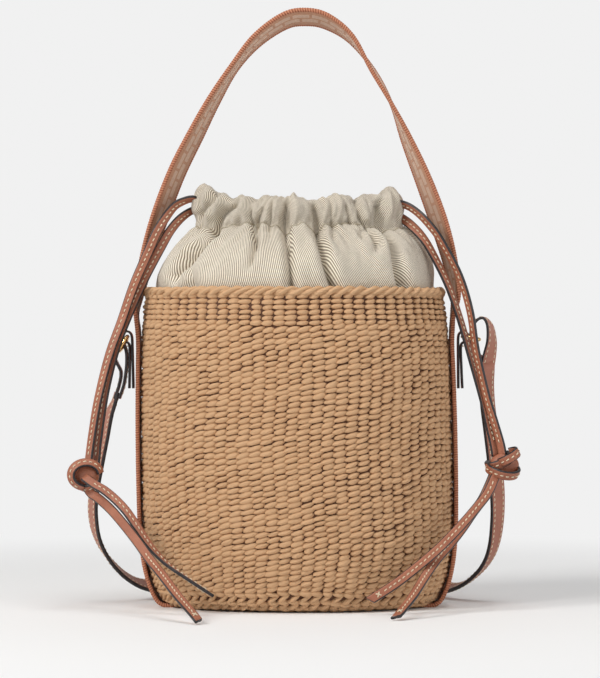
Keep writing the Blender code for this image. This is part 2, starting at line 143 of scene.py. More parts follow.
def colourInto(tree, shader, factor, stops):
    tree.links.new(rampNode(tree, factor, stops), shader.inputs["Base Color"])


def roughnessInto(tree, shader, factor, low, high):
    values = {"Value": factor, "To Min": low, "To Max": high}
    rough = addNode(tree, "ShaderNodeMapRange", values)
    tree.links.new(rough.outputs["Result"], shader.inputs["Roughness"])


def linked(name, data):
    obj = bpy.data.objects.new(name, data)
    bpy.context.scene.collection.objects.link(obj)
    return obj


# A closed tube, or a stack of them, from grids of points: rings along it, points round each ring.
def gridMesh(name, grids, materials, caps=True, sideSlots=None, capSlot=0, attributes=None):
    grids = np.asarray(grids, float)
    if grids.ndim == 3:
        grids = grids[None]
    pieces, rings, sides, _ = grids.shape
    index = np.arange(pieces * rings * sides).reshape(pieces, rings, sides)
    after = np.roll(index, -1, axis=2)
    quads = np.stack([index[:, :-1], index[:, 1:], after[:, 1:], after[:, :-1]], axis=-1)
    slots = np.zeros(quads.shape[:3], int)
    if sideSlots is not None:
        slots[:] = np.asarray(sideSlots)[: quads.shape[2]]
    quads = quads.reshape(-1, 4)
    points = grids.reshape(-1, 3)
    corners = points[quads]
    a, b, c, d = (corners[:, i] - points.mean(0) for i in range(4))
    volume = (a * np.cross(b, c)).sum() + (a * np.cross(c, d)).sum()
    flip = volume < 0  # outward faces enclose a positive volume
    faces = quads[:, ::-1].tolist() if flip else quads.tolist()
    slots = slots.reshape(-1).tolist()
    if caps:
        for first, last in zip(index[:, 0], index[:, -1]):
            ends = (first, last[::-1]) if flip else (first[::-1], last)
            faces += [end.tolist()[::-1] for end in ends]
            slots += [capSlot, capSlot]
    mesh = bpy.data.meshes.new(name)
    mesh.from_pydata(points.tolist(), [], faces)
    for made in materials:
        mesh.materials.append(made)
    mesh.polygons.foreach_set("material_index", slots)
    mesh.polygons.foreach_set("use_smooth", [True] * len(faces))
    for key, values in (attributes or {}).items():
        values = np.asarray(values, np.float32)
        kind, field = ("FLOAT_VECTOR", "vector") if values.shape[-1] == 3 else ("FLOAT", "value")
        mesh.attributes.new(key, kind, "POINT").data.foreach_set(field, values.ravel())
    mesh.update()
    return linked(name, mesh)


def unit(vectors):
    return vectors / np.maximum(np.linalg.norm(vectors, axis=-1, keepdims=True), 1e-12)


def inMetres(rows):  # places are written in millimetres, and angles stay as they are
    rows = np.array(rows, float)
    rows[:, :3] /= 1000
    return rows


def smoothRoute(rows, spacing):  # a smooth curve through the rows, read at even steps
    rows = np.array(rows, float)
    padded = np.vstack([2 * rows[0] - rows[1], rows, 2 * rows[-1] - rows[-2]])
    fine = []
    for a, b, c, d in zip(padded, padded[1:], padded[2:], padded[3:]):
        for t in np.linspace(0, 1, 16, endpoint=False):
            squared = (2 * a - 5 * b + 4 * c - d) * t**2
            fine.append(0.5 * (2 * b + (c - a) * t + squared + (3 * b - a - 3 * c + d) * t**3))
    fine = np.array(fine + [rows[-1]])
    along = lengthAlong(fine)
    wanted = np.linspace(0, along[-1], max(4, round(along[-1] / spacing) + 1))
    return np.column_stack([np.interp(wanted, along, column) for column in fine.T])


def lengthAlong(points):
    steps = np.linalg.norm(np.diff(points[:, :3], axis=0), axis=1)
    return np.concatenate([[0], np.cumsum(steps)])


def stripFrames(route):  # centres and directions along, across and out of a flat strip
    centres = route[:, :3]
    along = unit(np.gradient(centres, axis=0))
    turn, rise = np.radians(route[:, 3]), np.radians(route[:, 4])
    level = np.cos(rise)
    across = np.column_stack([level * np.sin(turn), level * np.cos(turn), np.sin(rise)])
    across = unit(across - along * (along * across).sum(1)[:, None])
    return centres, along, across, np.cross(along, across)


def flatSection(width, thickness, groove=0.0):  # (across, out) round a strip, and its painted sides
    half, thick = width / 2, thickness / 2
    inner = half - thickness * 0.28
    middle = [(-inner * 0.5, thick * 1.03), (0, thick - groove), (inner * 0.5, thick * 1.03)]
    top = [(-inner, thick), *middle, (inner, thick)]
    shoulder = half - thickness * 0.08
    side = [(shoulder, thick * 0.62), (half, 0), (shoulder, -thick * 0.62)]
    bottom = [(a, -b) for a, b in top[::-1]]
    other = [(-a, b) for a, b in side[::-1]]
    points = top + side + bottom + other
    painted = [0] * 4 + [1] * 4 + [0] * 4 + [1] * 4
    return np.array(points), painted


def stripGrid(frames, settings):  # a strip's rings, each point's place on it, its painted sides
    centres, _, across, out = frames
    groove = settings.get("groove", 0.0)
    section, painted = flatSection(settings["width"], settings["thickness"], groove)
    sideways, outwards = section[None, :, 0, None], section[None, :, 1, None]
    grid = centres[:, None] + sideways * across[:, None] + outwards * out[:, None]
    cloth = np.zeros(grid.shape)
    cloth[..., 0] = lengthAlong(centres)[:, None]
    cloth[..., 1] = section[None, :, 0]
    return grid, cloth, painted


def framesAt(frames, places):  # the frames read at distances along their route
    centres, along, across, out = frames
    distance = lengthAlong(centres)
    centres, along, across, out = (
        np.column_stack([np.interp(places, distance, column) for column in table.T])
        for table in (centres, along, across, out)
    )
    return centres, unit(along), unit(across), unit(out)


def threadDashes(name, centres, along, out, settings, material):  # separate raised stitches
    rings = np.array([-1.0, -0.8, -0.35, 0.35, 0.8, 1.0])
    swell = np.array([0.35, 0.8, 1.0, 1.0, 0.8, 0.35])
    sink = np.array([-0.8, 0.1, 0.4, 0.4, 0.1, -0.8]) * settings["height"]
    angles = np.arange(6) * math.pi / 3
    across = np.cross(along, out)
    middle = centres[:, None] + along[:, None] * (rings * settings["length"] / 2)[None, :, None]
    middle = middle + out[:, None] * sink[None, :, None]
    wide = np.cos(angles)[None, None, :, None] * across[:, None, None] * settings["width"] / 2
    high = np.sin(angles)[None, None, :, None] * out[:, None, None] * settings["height"] / 2
    grid = middle[:, :, None] + (wide + high) * swell[None, :, None, None]
    return gridMesh(name, grid, [material])


def carry(obj, body, slot, *nodes):
    if body:
        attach(obj, body)
    if nodes:
        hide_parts(*nodes)
    return obj


# Camera, floor and light

studio = {
    "cameraPlace": (0.0006, -2.0, 0.168),
    "lens": 168.6,
    "backdrop": 0.879,
    "ceiling": 0.22,
    "floorAlbedo": 0.87,
    "floorRadius": 2.4,
    "ceilingFade": (0.16, 0.42),
    "floorFade": (0.3, 0.75),
    "aim": (0, 0, 0.15),
    "lights": [  # name, place, size, power, colour
        ("keyLight", (-1.5, -1.25, 1.5), 0.8, 34.0, (1.0, 0.99, 0.97)),
        ("topLight", (0.25, -0.35, 1.9), 0.9, 12.0, (1.0, 1.0, 1.0)),
        ("fillLight", (1.4, -1.3, 0.9), 1.2, 6.0, (1.0, 1.0, 1.0)),
        ("backLight", (0.4, 1.6, 1.5), 1.2, 3.5, (1.0, 1.0, 1.0)),
    ],
}


def makeStudio():
    camera = linked("camera", bpy.data.cameras.new("camera"))
    camera.location = studio["cameraPlace"]
    camera.rotation_euler = (math.pi / 2, 0, 0)
    camera.data.lens = studio["lens"]
    camera.data.clip_start = 0.05
    bpy.context.scene.camera = camera
    world = bpy.data.worlds.new("studio")
    world.use_nodes = True
    tree = world.node_tree
    direction = addNode(tree, "ShaderNodeTexCoord").outputs["Generated"]
    height = addNode(tree, "ShaderNodeSeparateXYZ", {0: direction}).outputs[2]
    level, ceiling = studio["backdrop"], studio["ceiling"]
    start, end = studio["ceilingFade"]
    values = {"Value": height, "From Min": start, "From Max": end}
    fade = addNode(tree, "ShaderNodeMapRange", values)
    sky = mixColours(tree, fade.outputs["Result"], (level,) * 3, (ceiling,) * 3)
    tree.links.new(sky, tree.nodes["Background"].inputs["Color"])
    bpy.context.scene.world = world
    bpy.context.scene.view_settings.view_transform = "Standard"
    for name, place, size, power, colour in studio["lights"]:
        lamp = bpy.data.lights.new(name, "AREA")
        lamp.size = size
        lamp.energy = power
        lamp.color = colour
        light = linked(name, lamp)
        light.location = place
        aim = Vector(studio["aim"]) - Vector(place)
        light.rotation_euler = aim.to_track_quat("-Z", "Y").to_euler()


def makeFloor():
    made, tree, shader = newMaterial("paleFloor", 0.9)
    level, albedo = studio["backdrop"], studio["floorAlbedo"]
    shader.inputs["Base Color"].default_value = (albedo, albedo, albedo, 1)
    shader.inputs["Specular IOR Level"].default_value = 0.1
    distance = addNode(tree, "ShaderNodeVectorMath", {0: objectCoords(tree)}, operation="LENGTH")
    start, end = studio["floorFade"]
    values = {"Value": distance.outputs["Value"], "From Min": start, "From Max": end}
    fade = addNode(tree, "ShaderNodeMapRange", values)
    fade.interpolation_type = "SMOOTHSTEP"
    glow = addNode(tree, "ShaderNodeEmission", {"Color": (level, level, level, 1)})
    values = {0: fade.outputs["Result"], 1: shader.outputs[0], 2: glow.outputs[0]}
    mix = addNode(tree, "ShaderNodeMixShader", values)
    tree.links.new(mix.outputs[0], tree.nodes["Material Output"].inputs["Surface"])
    turns = np.linspace(0, 2 * math.pi, 64, endpoint=False)
    radius = studio["floorRadius"]
    mesh = bpy.data.meshes.new("floor")
    edge = [(radius * math.cos(turn), radius * math.sin(turn), 0) for turn in turns]
    mesh.from_pydata(edge, [], [list(range(len(edge)))])
    mesh.materials.append(made)
    linked("floor", mesh)


makeStudio()
makeFloor()
print("studio ready")

# Finishes


def strawFinish(name, dark, middle, light):
    made, tree, shader = newMaterial(name, 0.62, Specular_IOR_Level=0.35)
    tone = addNode(tree, "ShaderNodeAttribute", attribute_name="tone").outputs["Fac"]
    fibres = noiseNode(tree, stretched(tree, "strand", (170, 1350, 1)), 1.0, 4.0, 0.62)
    patches = noiseNode(tree, objectCoords(tree), 38.0, 2.0)
    spread = weighted(tree, (fibres, 1.15), (patches, 0.22), (tone, 0.22))
    spread = mathNode(tree, "ADD", spread, 0.5)
    colourInto(tree, shader, spread, [(0.22, dark), (0.5, middle), (0.82, light)])
    first = bumpInto(tree, shader, fibres, 0.8, 0.0006)
    bumpInto(tree, shader, noiseNode(tree, objectCoords(tree), 1500.0, 2.0), 0.2, 0.0003, first)
    return made


def linenFinish():
    made, tree, shader = newMaterial("linenTwill", 0.85, Specular_IOR_Level=0.25, Sheen_Weight=0.25)
    parts = attributeParts(tree, "cloth")
    slubs = noiseNode(tree, stretched(tree, "cloth", (520, 380, 1)), 1.0, 3.0)
    # the ribs stand upright at the left and lean further over towards the right
    tilt = mathNode(tree, "MULTIPLY_ADD", parts[0], 14000.0, -4300.0)
    height = mathNode(tree, "SUBTRACT", parts[1], 0.30)
    slant = weighted(tree, (parts[0], 5200.0), (height, tilt), (slubs, 0.8))
    ribs = mathNode(tree, "MULTIPLY_ADD", mathNode(tree, "SINE", slant), 0.5, 0.5)
    patches = noiseNode(tree, objectCoords(tree), 60.0, 3.0)
    amount = weighted(tree, (ribs, 0.74), (slubs, 0.20), (patches, 0.15))
    stops = [(0.2, (0.21, 0.165, 0.115)), (0.5, (0.56, 0.48, 0.375)), (0.8, (0.90, 0.83, 0.70))]
    colourInto(tree, shader, amount, stops)
    bumpInto(tree, shader, amount, 0.8, 0.0005)
    return made


def leatherFinish(name, colour, deep, roughness=0.45):
    made, tree, shader = newMaterial(name, roughness, Specular_IOR_Level=0.4)
    clouds = noiseNode(tree, objectCoords(tree), 70.0, 4.0)
    values = {"Vector": objectCoords(tree), "Scale": 1500.0}
    grain = addNode(tree, "ShaderNodeTexVoronoi", values).outputs["Distance"]
    amount = weighted(tree, (clouds, 0.8), (grain, 0.22))
    colourInto(tree, shader, amount, [(0.3, deep), (0.7, colour)])
    roughnessInto(tree, shader, clouds, roughness - 0.06, roughness + 0.1)
    bumpInto(tree, shader, grain, 0.16, 0.0003)
    return made


def paintFinish():
    made, tree, shader = newMaterial("edgePaint", 0.38, Specular_IOR_Level=0.5)
    wear = noiseNode(tree, objectCoords(tree), 420.0, 3.0)
    stops = [(0.35, (0.012, 0.010, 0.011)), (0.75, (0.035, 0.030, 0.033))]
    colourInto(tree, shader, wear, stops)
    bumpInto(tree, shader, wear, 0.2, 0.0003)
    return made


def threadFinish(name, light, dark):
    made, tree, shader = newMaterial(name, 0.6)
    values = {"Vector": objectCoords(tree), "Scale": 900.0, "Distortion": 1.5}
    wave = addNode(tree, "ShaderNodeTexWave", values, bands_direction="DIAGONAL")
    twist = wave.outputs["Fac"]
    colourInto(tree, shader, twist, [(0.2, dark), (0.8, light)])
    bumpInto(tree, shader, twist, 0.25, 0.0002)
    return made


def webbingFinish():
    sockets = {"Specular_IOR_Level": 0.2, "Sheen_Weight": 0.15}
    made, tree, shader = newMaterial("cottonWebbing", 0.85, **sockets)
    along, across, _ = attributeParts(tree, "cloth")
    weft = mathNode(tree, "SINE", mathNode(tree, "MULTIPLY", along, 2 * math.pi / 0.0009))
    warp = mathNode(tree, "SINE", mathNode(tree, "MULTIPLY", across, 2 * math.pi / 0.0011))
    weave = mathNode(tree, "MULTIPLY", weft, warp)
    values = {
        "Vector": attributeVector(tree, "cloth"),
        "Scale": 1.0,
        "Mortar Size": 0.0009,
        "Mortar Smooth": 0.05,
        "Brick Width": 0.0122,
        "Row Height": 0.0066,
    }
    blocks = addNode(tree, "ShaderNodeTexBrick", values, offset=0.5)
    inside = mathNode(tree, "LESS_THAN", mathNode(tree, "ABSOLUTE", across), 0.0066)
    brick = mathNode(tree, "SUBTRACT", 1.0, blocks.outputs["Fac"])
    pale = mathNode(tree, "MULTIPLY", inside, brick)
    yarn = noiseNode(tree, stretched(tree, "cloth", (700, 700, 1)), 1.0, 3.0)
    tan = rampNode(tree, yarn, [(0.3, (0.44, 0.215, 0.125)), (0.75, (0.58, 0.32, 0.20))])
    light = rampNode(tree, yarn, [(0.3, (0.66, 0.50, 0.38)), (0.75, (0.80, 0.66, 0.53))])
    colour = mixColours(tree, mathNode(tree, "MULTIPLY", pale, 0.5), tan, light)
    tree.links.new(colour, shader.inputs["Base Color"])
    first = bumpInto(tree, shader, weave, 0.4, 0.0003)
    bumpInto(tree, shader, yarn, 0.3, 0.0003, first)
    return made


def whipFinish():
    made, tree, shader = newMaterial("whippedEdge", 0.75, Specular_IOR_Level=0.25)
    parts = attributeParts(tree, "strand")
    lay = mathNode(tree, "MULTIPLY_ADD", parts[0], 2 * math.pi / 0.0015, parts[1])
    turns = mathNode(tree, "MULTIPLY_ADD", mathNode(tree, "SINE", lay), 0.5, 0.5)
    yarn = noiseNode(tree, objectCoords(tree), 900.0, 3.0)
    amount = weighted(tree, (turns, 0.65), (yarn, 0.4))
    stops = [(0.15, (0.22, 0.07, 0.038)), (0.5, (0.42, 0.155, 0.082)), (0.85, (0.55, 0.25, 0.15))]
    colourInto(tree, shader, amount, stops)
    bumpInto(tree, shader, amount, 0.5, 0.0004)
    return made


def goldFinish():
    made, tree, shader = newMaterial("goldMetal", 0.16, Metallic=1.0)
    rub = noiseNode(tree, objectCoords(tree), 260.0, 3.0)
    stops = [(0.3, (0.70, 0.44, 0.17)), (0.75, (0.92, 0.68, 0.34))]
    colourInto(tree, shader, rub, stops)
    roughnessInto(tree, shader, rub, 0.1, 0.26)
    bumpInto(tree, shader, rub, 0.05, 0.0002)
    return made


strawTones = (0.085, 0.034, 0.012), (0.285, 0.144, 0.066), (0.58, 0.352, 0.190)
# painted shade: straw colours darkened for the lining seen between the stitches, partly the liner's
# own dark and partly the shade in those gaps
shadeTones = (0.035, 0.012, 0.006), (0.06, 0.022, 0.010), (0.10, 0.04, 0.018)
straw = strawFinish("twinedStraw", *strawTones)
strawLinerShade = strawFinish("strawBehindPaintedShade", *shadeTones)
linen = linenFinish()
laceLeather = leatherFinish("laceLeather", (0.38, 0.145, 0.082), (0.28, 0.095, 0.052))
strapLeather = leatherFinish("strapLeather", (0.41, 0.165, 0.108), (0.32, 0.12, 0.075))
tieLeather = leatherFinish("tieLeather", (0.38, 0.145, 0.085), (0.28, 0.10, 0.058), 0.5)
edgePaint = paintFinish()
creamThread = threadFinish("creamThread", (0.80, 0.70, 0.52), (0.60, 0.49, 0.34))
linenThread = threadFinish("linenThread", (0.55, 0.48, 0.36), (0.35, 0.30, 0.21))
webbing = webbingFinish()
whipped = whipFinish()
gold = goldFinish()
print("finishes ready")

# Woven basket

lean = -0.0147  # sideways shift for each metre of height, as the basket stands

basket = {
    # (half width, height) in millimetres, down the outside and across the underside to the middle
    "outline": [
        (93.8, 199), (94.5, 192), (96.2, 175), (97.4, 150), (98, 110), (98, 75), (97.4, 48),
        (95.7, 30), (92.5, 16.5), (88, 6.8), (83.5, 1.8), (78, 0.6), (70, 0.4), (50, 0.4),
        (31, 0.4),
    ],
    "widerThanDeep": 0.028,
    "columns": 71,
    "rimRows": 7,
    "rimRowPitch": 0.00325,
    "rowPitch": 0.00352,
    "footSlant": 0.42,
    "strandInset": 0.0017,
    "strandThickness": 0.00185,
    "underStitch": 0.0075,  # stitch length under the base
    "footHeight": 0.013,
}
rimRope = {"half": 0.0918, "depth": 0.0638, "radius": 0.0017, "lays": 23, "belowTop": 0.0034}


def basketOutline():
    rows = inMetres([(half, 0.0, height) for half, height in basket["outline"]])
    fine = smoothRoute(rows, 0.0008)
    return fine[:, 0], fine[:, 2], lengthAlong(fine)


outlineHalf, outlineHeight, outlineLength = basketOutline()
slopeHalf = np.gradient(outlineHalf, outlineLength)
slopeHeight = np.gradient(outlineHeight, outlineLength)


def ovalTable(half, depth):  # shares of the way round an oval, their angles, and its girth
    angles = np.linspace(0, 2 * math.pi, 721)
    ring = np.column_stack([half * np.cos(angles), depth * np.sin(angles), 0 * angles])
    far = lengthAlong(ring)
    return far / far[-1], angles, far[-1]


# A point of the basket from its share of the way round, distance down the outline and distance out.
def onBasket(share, down, out, oval):
    share, down, out = np.broadcast_arrays(share, down, out)
    down = np.clip(down, 0, outlineLength[-1])
    tables = (outlineHalf, outlineHeight, slopeHalf, slopeHeight)
    half, height, dHalf, dHeight = (np.interp(down, outlineLength, table) for table in tables)
    angle = np.interp(share % 1.0, oval[0], oval[1])
    cosine, sine = np.cos(angle), np.sin(angle)
    depth = np.maximum(half - basket["widerThanDeep"], 0.002)
    flatX, flatY = np.moveaxis(unit(np.stack([cosine / half, sine / depth], -1)), -1, 0)
    size = np.hypot(dHalf, dHeight)
    dHalf, dHeight = dHalf / size, dHeight / size
    normal = np.stack([-flatX * dHeight, -flatY * dHeight, dHalf], -1)
    downward = np.stack([flatX * dHalf, flatY * dHalf, dHeight], -1)
    place = np.stack([half * cosine, depth * sine, height], -1)
    place = place + normal * (out - basket["strandInset"])[..., None]
    place[..., 0] += lean * place[..., 2]
    return place, normal, downward


def wovenStitches():
    rings = np.array([-1.0, -0.78, -0.45, 0.0, 0.45, 0.78, 1.0])
    angles = np.arange(8) * math.pi / 4 - math.pi / 2  # starts at the back of the strand
    fronts, backs = [], []
    end = outlineLength[-1]
    wallEnd = outlineLength[np.searchsorted(-outlineHeight, -0.0012)]
    down, row, drift = basket["rimRowPitch"] * 0.4, 0, 0.0
    while down < end - 0.001:
        rimZone = row < basket["rimRows"]
        half = np.interp(down, outlineLength, outlineHalf)
        oval = ovalTable(half, max(half - basket["widerThanDeep"], 0.002))
        underColumns = max(8, round(oval[2] / basket["underStitch"]))
        columns = basket["columns"] if down < wallEnd else underColumns
        pitch = basket["rimRowPitch"] if rimZone else basket["rowPitch"]
        height = np.interp(down, outlineLength, outlineHeight)
        if not rimZone:
            drift += 0.05 * math.sin(row * 0.21) + 0.02 * rng.standard_normal()
        share = (np.arange(columns) + drift + 0.035 * rng.standard_normal(columns)) / columns
        stitch = oval[2] / columns
        reach = stitch * (0.54 if rimZone else 0.63) * (1 + 0.09 * rng.standard_normal(columns))
        slope = (0.05 if rimZone else 0.20) + 0.035 * rng.standard_normal(columns)
        if height < basket["footHeight"] and not rimZone:
            slope = slope + basket["footSlant"] * (1 if row % 2 else -1)
        tall = pitch * 0.55 * (1 + 0.08 * rng.standard_normal(columns))
        thick = basket["strandThickness"] * (1 + 0.10 * rng.standard_normal(columns))
        wave = 2 * math.pi * share
        calm = 0.35 if rimZone else 1.0
        wander = 0.0009 * np.sin(3 * wave + 0.06 * row)
        wander += 0.0007 * np.sin(7 * wave - 0.09 * row + 1.3)
        wander += 0.0003 * np.sin(17 * wave + 0.15 * row)
        wander += 0.00016 * rng.standard_normal(columns)
        fade = min(1.0, (end - down) / 0.02)
        t = rings[None, :]
        atShare = share[:, None] + t * (reach / oval[2])[:, None]
        atDown = down + fade * calm * wander[:, None] - slope[:, None] * t * reach[:, None]
        dip = 0.0021 if rimZone else 0.0017
        bulge = -dip * (0.75 * t**2 + 0.45 * t) + 0.00015 * rng.standard_normal((columns, 1))
        place, normal, downward = onBasket(atShare, atDown, bulge, oval)
        lobes = 1 + 0.10 * np.sin(3 * angles + rng.uniform(0, 6.3, (columns, 1)))[:, None, :]
        swell = (1 - 0.62 * np.abs(t) ** 2.2)[:, :, None] * lobes
        lift = np.cos(angles) * tall[:, None, None] * swell
        outward = np.sin(angles) * thick[:, None, None] * (1 - 0.35 * t**2)[:, :, None] * lobes
        twist = 0.35 * t[:, :, None]
        grid = place[:, :, None] - downward[:, :, None] * (lift + twist * outward)[..., None]
        grid = grid + normal[:, :, None] * outward[..., None]
        strand = np.zeros(grid.shape)
        strand[..., 0] = (t * reach[:, None])[:, :, None] + rng.uniform(0, 1, (columns, 1, 1))
        strand[..., 1] = angles * 0.0018
        tone = np.broadcast_to(rng.uniform(0, 1, (columns, 1, 1)), grid.shape[:3])
        isFront = place[:, 3, 1] < 0
        for store, chosen in ((fronts, isFront), (backs, ~isFront)):
            store.append((grid[chosen], strand[chosen], tone[chosen]))
        down += pitch
        row += 1
    print("woven rows:", row)
    return fronts, backs


def makeWeave():
    names = (("straw_weave_front", "basket_wall"), ("straw_weave_back", "basket_base"))
    for (name, node), store in zip(names, wovenStitches()):
        grid, strand, tone = (np.concatenate(part) for part in zip(*store))
        weave = gridMesh(name, grid, [straw], attributes={"strand": strand, "tone": tone})
        carry(weave, "bag", "straw", node)


def makeBasketLining():  # a dark lining behind the stitches, in a darkened copy of the straw finish: its colour is partly the liner's own dark and partly painted shade in the gaps between the stitches
    downs = np.linspace(0.0, outlineLength[-1], 60)
    shares = np.linspace(0, 1, 96, endpoint=False)
    oval = ovalTable(0.098, 0.070)
    layers = ((-0.0006, downs), (-0.0020, downs[::-1]))  # down the outside, up the inside
    grid = np.concatenate([onBasket(shares, order[:, None], out, oval)[0] for out, order in layers])
    strand = np.zeros(grid.shape)
    strand[..., 0] = shares * 0.5
    strand[..., 1] = np.concatenate([downs, downs[::-1]])[:, None] * 0.3
    tone = np.broadcast_to(0.5 + 0.4 * np.sin(np.arange(96) * 2.1), grid.shape[:2])
    attributes = {"strand": strand, "tone": tone}
    carry(gridMesh("basket_lining_painted_shade", grid, [strawLinerShade], attributes=attributes), "bag", "straw")


def makeRim():  # three strands laid round the rim line
    share = np.linspace(0, 1, 720, endpoint=False)
    half, depth, radius = rimRope["half"], rimRope["depth"], rimRope["radius"]
    oval = ovalTable(half, depth)
    angle = np.interp(share, oval[0], oval[1])
    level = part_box("rim_braid")[1].z - rimRope["belowTop"]
    centre = np.column_stack([half * np.cos(angle), depth * np.sin(angle), np.full(720, level)])
    centre[:, 0] += lean * centre[:, 2]
    outward = unit(np.column_stack([np.cos(angle) / half, np.sin(angle) / depth, 0 * angle]))
    upward = np.array([0, 0, 1.0])
    turns = np.arange(9) * 2 * math.pi / 9
    ring = np.cos(turns)[None, :, None] * outward[:, None] + np.sin(turns)[None, :, None] * upward
    full = 2 * math.pi * share
    grids, strands, tones = [], [], []
    for strand in range(3):
        phase = rimRope["lays"] * full + 2 * math.pi * strand / 3
        phase = phase + 0.35 * np.sin(11 * full + strand)
        path = outward * np.cos(phase)[:, None] + upward * np.sin(phase)[:, None]
        path = centre + path * radius
        thick = radius * (1 + 0.10 * np.sin(17 * full + 2 * strand))[:, None]
        thick = thick * (1 + 0.08 * np.sin(3 * turns[None, :] + 3 * phase[:, None]))
        grid = path[:, None] + ring * thick[..., None]
        grids.append(np.concatenate([grid, grid[:1]]))
        lay = np.zeros(grids[-1].shape)
        lay[..., 0] = np.append(share, 1)[:, None] * oval[2]
        lay[..., 1] = turns * 0.0018
        strands.append(lay)
        tone = 0.45 + 0.35 * np.sin(9 * np.append(full, 2 * math.pi) + 2 * strand)
        tones.append(np.broadcast_to(tone[:, None], lay.shape[:2]))
    attributes = {"strand": np.array(strands), "tone": np.array(tones)}
    rope = gridMesh("rim_rope", np.array(grids), [straw], attributes=attributes)
    carry(rope, "bag", "straw", "rim_braid")


makeWeave()
makeBasketLining()
makeRim()
print("basket woven")

# Leather strips

# Middle lines of the flat leather pieces: (x, y, z, turn, rise), in millimetres and degrees.
# Turn and rise point across the strip: turn from +Y towards +X, and rise upwards from level.
laceRoutes = {
    "lace_left_front_strand": [
        (-65, -4.2, 255.8, -90, 90), (-68, -5, 256, -88, 82), (-72.2, -7, 254.6, -85, 70),
        (-77.7, -12, 251.3, -80, 55), (-83.1, -16.5, 244.2, -76, 40),
        (-88.6, -19.5, 234.8, -72, 30), (-93.5, -20.5, 223.5, -70, 25),
        (-102.8, -22.5, 201.7, -70, 18), (-110.3, -22.5, 179.8, -68, 16),
        (-118.3, -23.5, 157.4, -66, 16), (-125.1, -24.5, 130, -66, 12),
        (-128.6, -25.5, 109, -68, 8), (-130.5, -26.8, 94.5, -70, 5),
    ],
    "lace_left_back_strand": [
        (-65, 3, 250, -88, 80), (-69.9, -2, 247.3, -84, 62), (-75.3, -8.5, 242.6, -78, 46),
        (-80.7, -13, 235.6, -72, 34), (-85.6, -15.8, 226.8, -66, 28),
        (-96.6, -17.5, 205.5, -62, 22), (-106, -18, 184.2, -60, 18),
        (-114.2, -18.2, 162.4, -60, 16), (-120.8, -19.5, 134.9, -62, 12),
        (-125.2, -21.8, 103.8, -66, 8), (-125.9, -23.2, 94.5, -68, 5),
    ],
    "lace_left_upper_tail": [
        (-126.2, -39, 78, -80, -40), (-120.3, -41.2, 74.8, -85, -44),
        (-113.4, -44, 69.4, -92, -46), (-106.3, -48, 62.3, -102, -44),
        (-99.3, -52.5, 52.8, -115, -38), (-91.1, -58, 41.4, -135, -30),
        (-81.2, -63, 31.3, -155, -18), (-67.6, -68, 21.9, -170, -8),
        (-52.9, -71, 12.3, -178, -2),
    ],
    "lace_left_lower_tail": [
        (-129, -30, 72.2, -88, -40), (-124, -34.5, 69.2, -88, -42), (-116, -44, 63, -90, -44),
        (-107.4, -55.5, 54.5, -92, -44), (-98.8, -67, 45, -96, -40),
        (-90.3, -79, 34.7, -102, -32), (-81.7, -93, 25.6, -108, -22),
        (-72, -111, 15, -114, -12), (-62.5, -127, 5.8, -118, -4), (-59, -133.5, 2.2, -118, 0),
    ],
    "lace_right_front_strand": [
        (57.2, -4.2, 252.8, 90, 90), (64.1, -5, 252.9, 90, 84), (70.3, -8, 250.2, 92, 68),
        (76.4, -13, 245, 96, 52), (82.5, -16.5, 238, 100, 38), (88.6, -19, 229.2, 104, 28),
        (99.8, -20.5, 207.9, 108, 18), (106.6, -21.2, 185.5, 110, 10),
        (110.3, -22, 161.1, 110, 8), (116.5, -23, 133.1, 108, 12),
        (120.8, -23.5, 118.8, 106, 14), (125.2, -25, 103.5, 104, 12),
    ],
    "lace_right_back_strand": [
        (57.2, 3.6, 247, 90, 88), (60.6, 3, 246, 88, 84), (66.1, -2.5, 242.9, 84, 68),
        (71.5, -8.5, 238.2, 76, 52), (77, -13, 231.8, 66, 38), (82.5, -15.2, 223, 58, 28),
        (92.5, -16.2, 203, 52, 22), (100.5, -17.2, 180.5, 48, 16),
        (107.4, -18.2, 156.1, 48, 12), (114.8, -19.5, 129.9, 56, 12),
        (119, -21.2, 112, 66, 10), (121, -22.2, 104, 70, 8),
    ],
    "lace_right_upper_tail": [
        (119.6, -38, 79, 100, -34), (116.1, -40.5, 72.3, 104, -36),
        (109.6, -45, 64.5, 106, -38), (102.6, -50, 56.8, 108, -40),
        (94.4, -55, 48.5, 110, -42), (85, -59.5, 39.6, 110, -44), (73.3, -64, 30, 112, -46),
        (59.1, -68, 19.3, 114, -46), (43.2, -71, 9.2, 116, -44),
    ],
    "lace_right_lower_tail": [
        (117.6, -30, 76.5, 94, -30), (113.4, -32, 68.2, 96, -32), (107, -36, 59.7, 98, -34),
        (100.5, -41.5, 50.9, 100, -36), (92.6, -48.5, 41.7, 104, -38),
        (84.7, -55, 33.3, 108, -36), (77.5, -66, 24.5, 114, -28), (69, -86, 13.5, 122, -14),
        (61, -102, 5, 127, -4), (57.9, -107.5, 2.2, 128, 0),
    ],
}
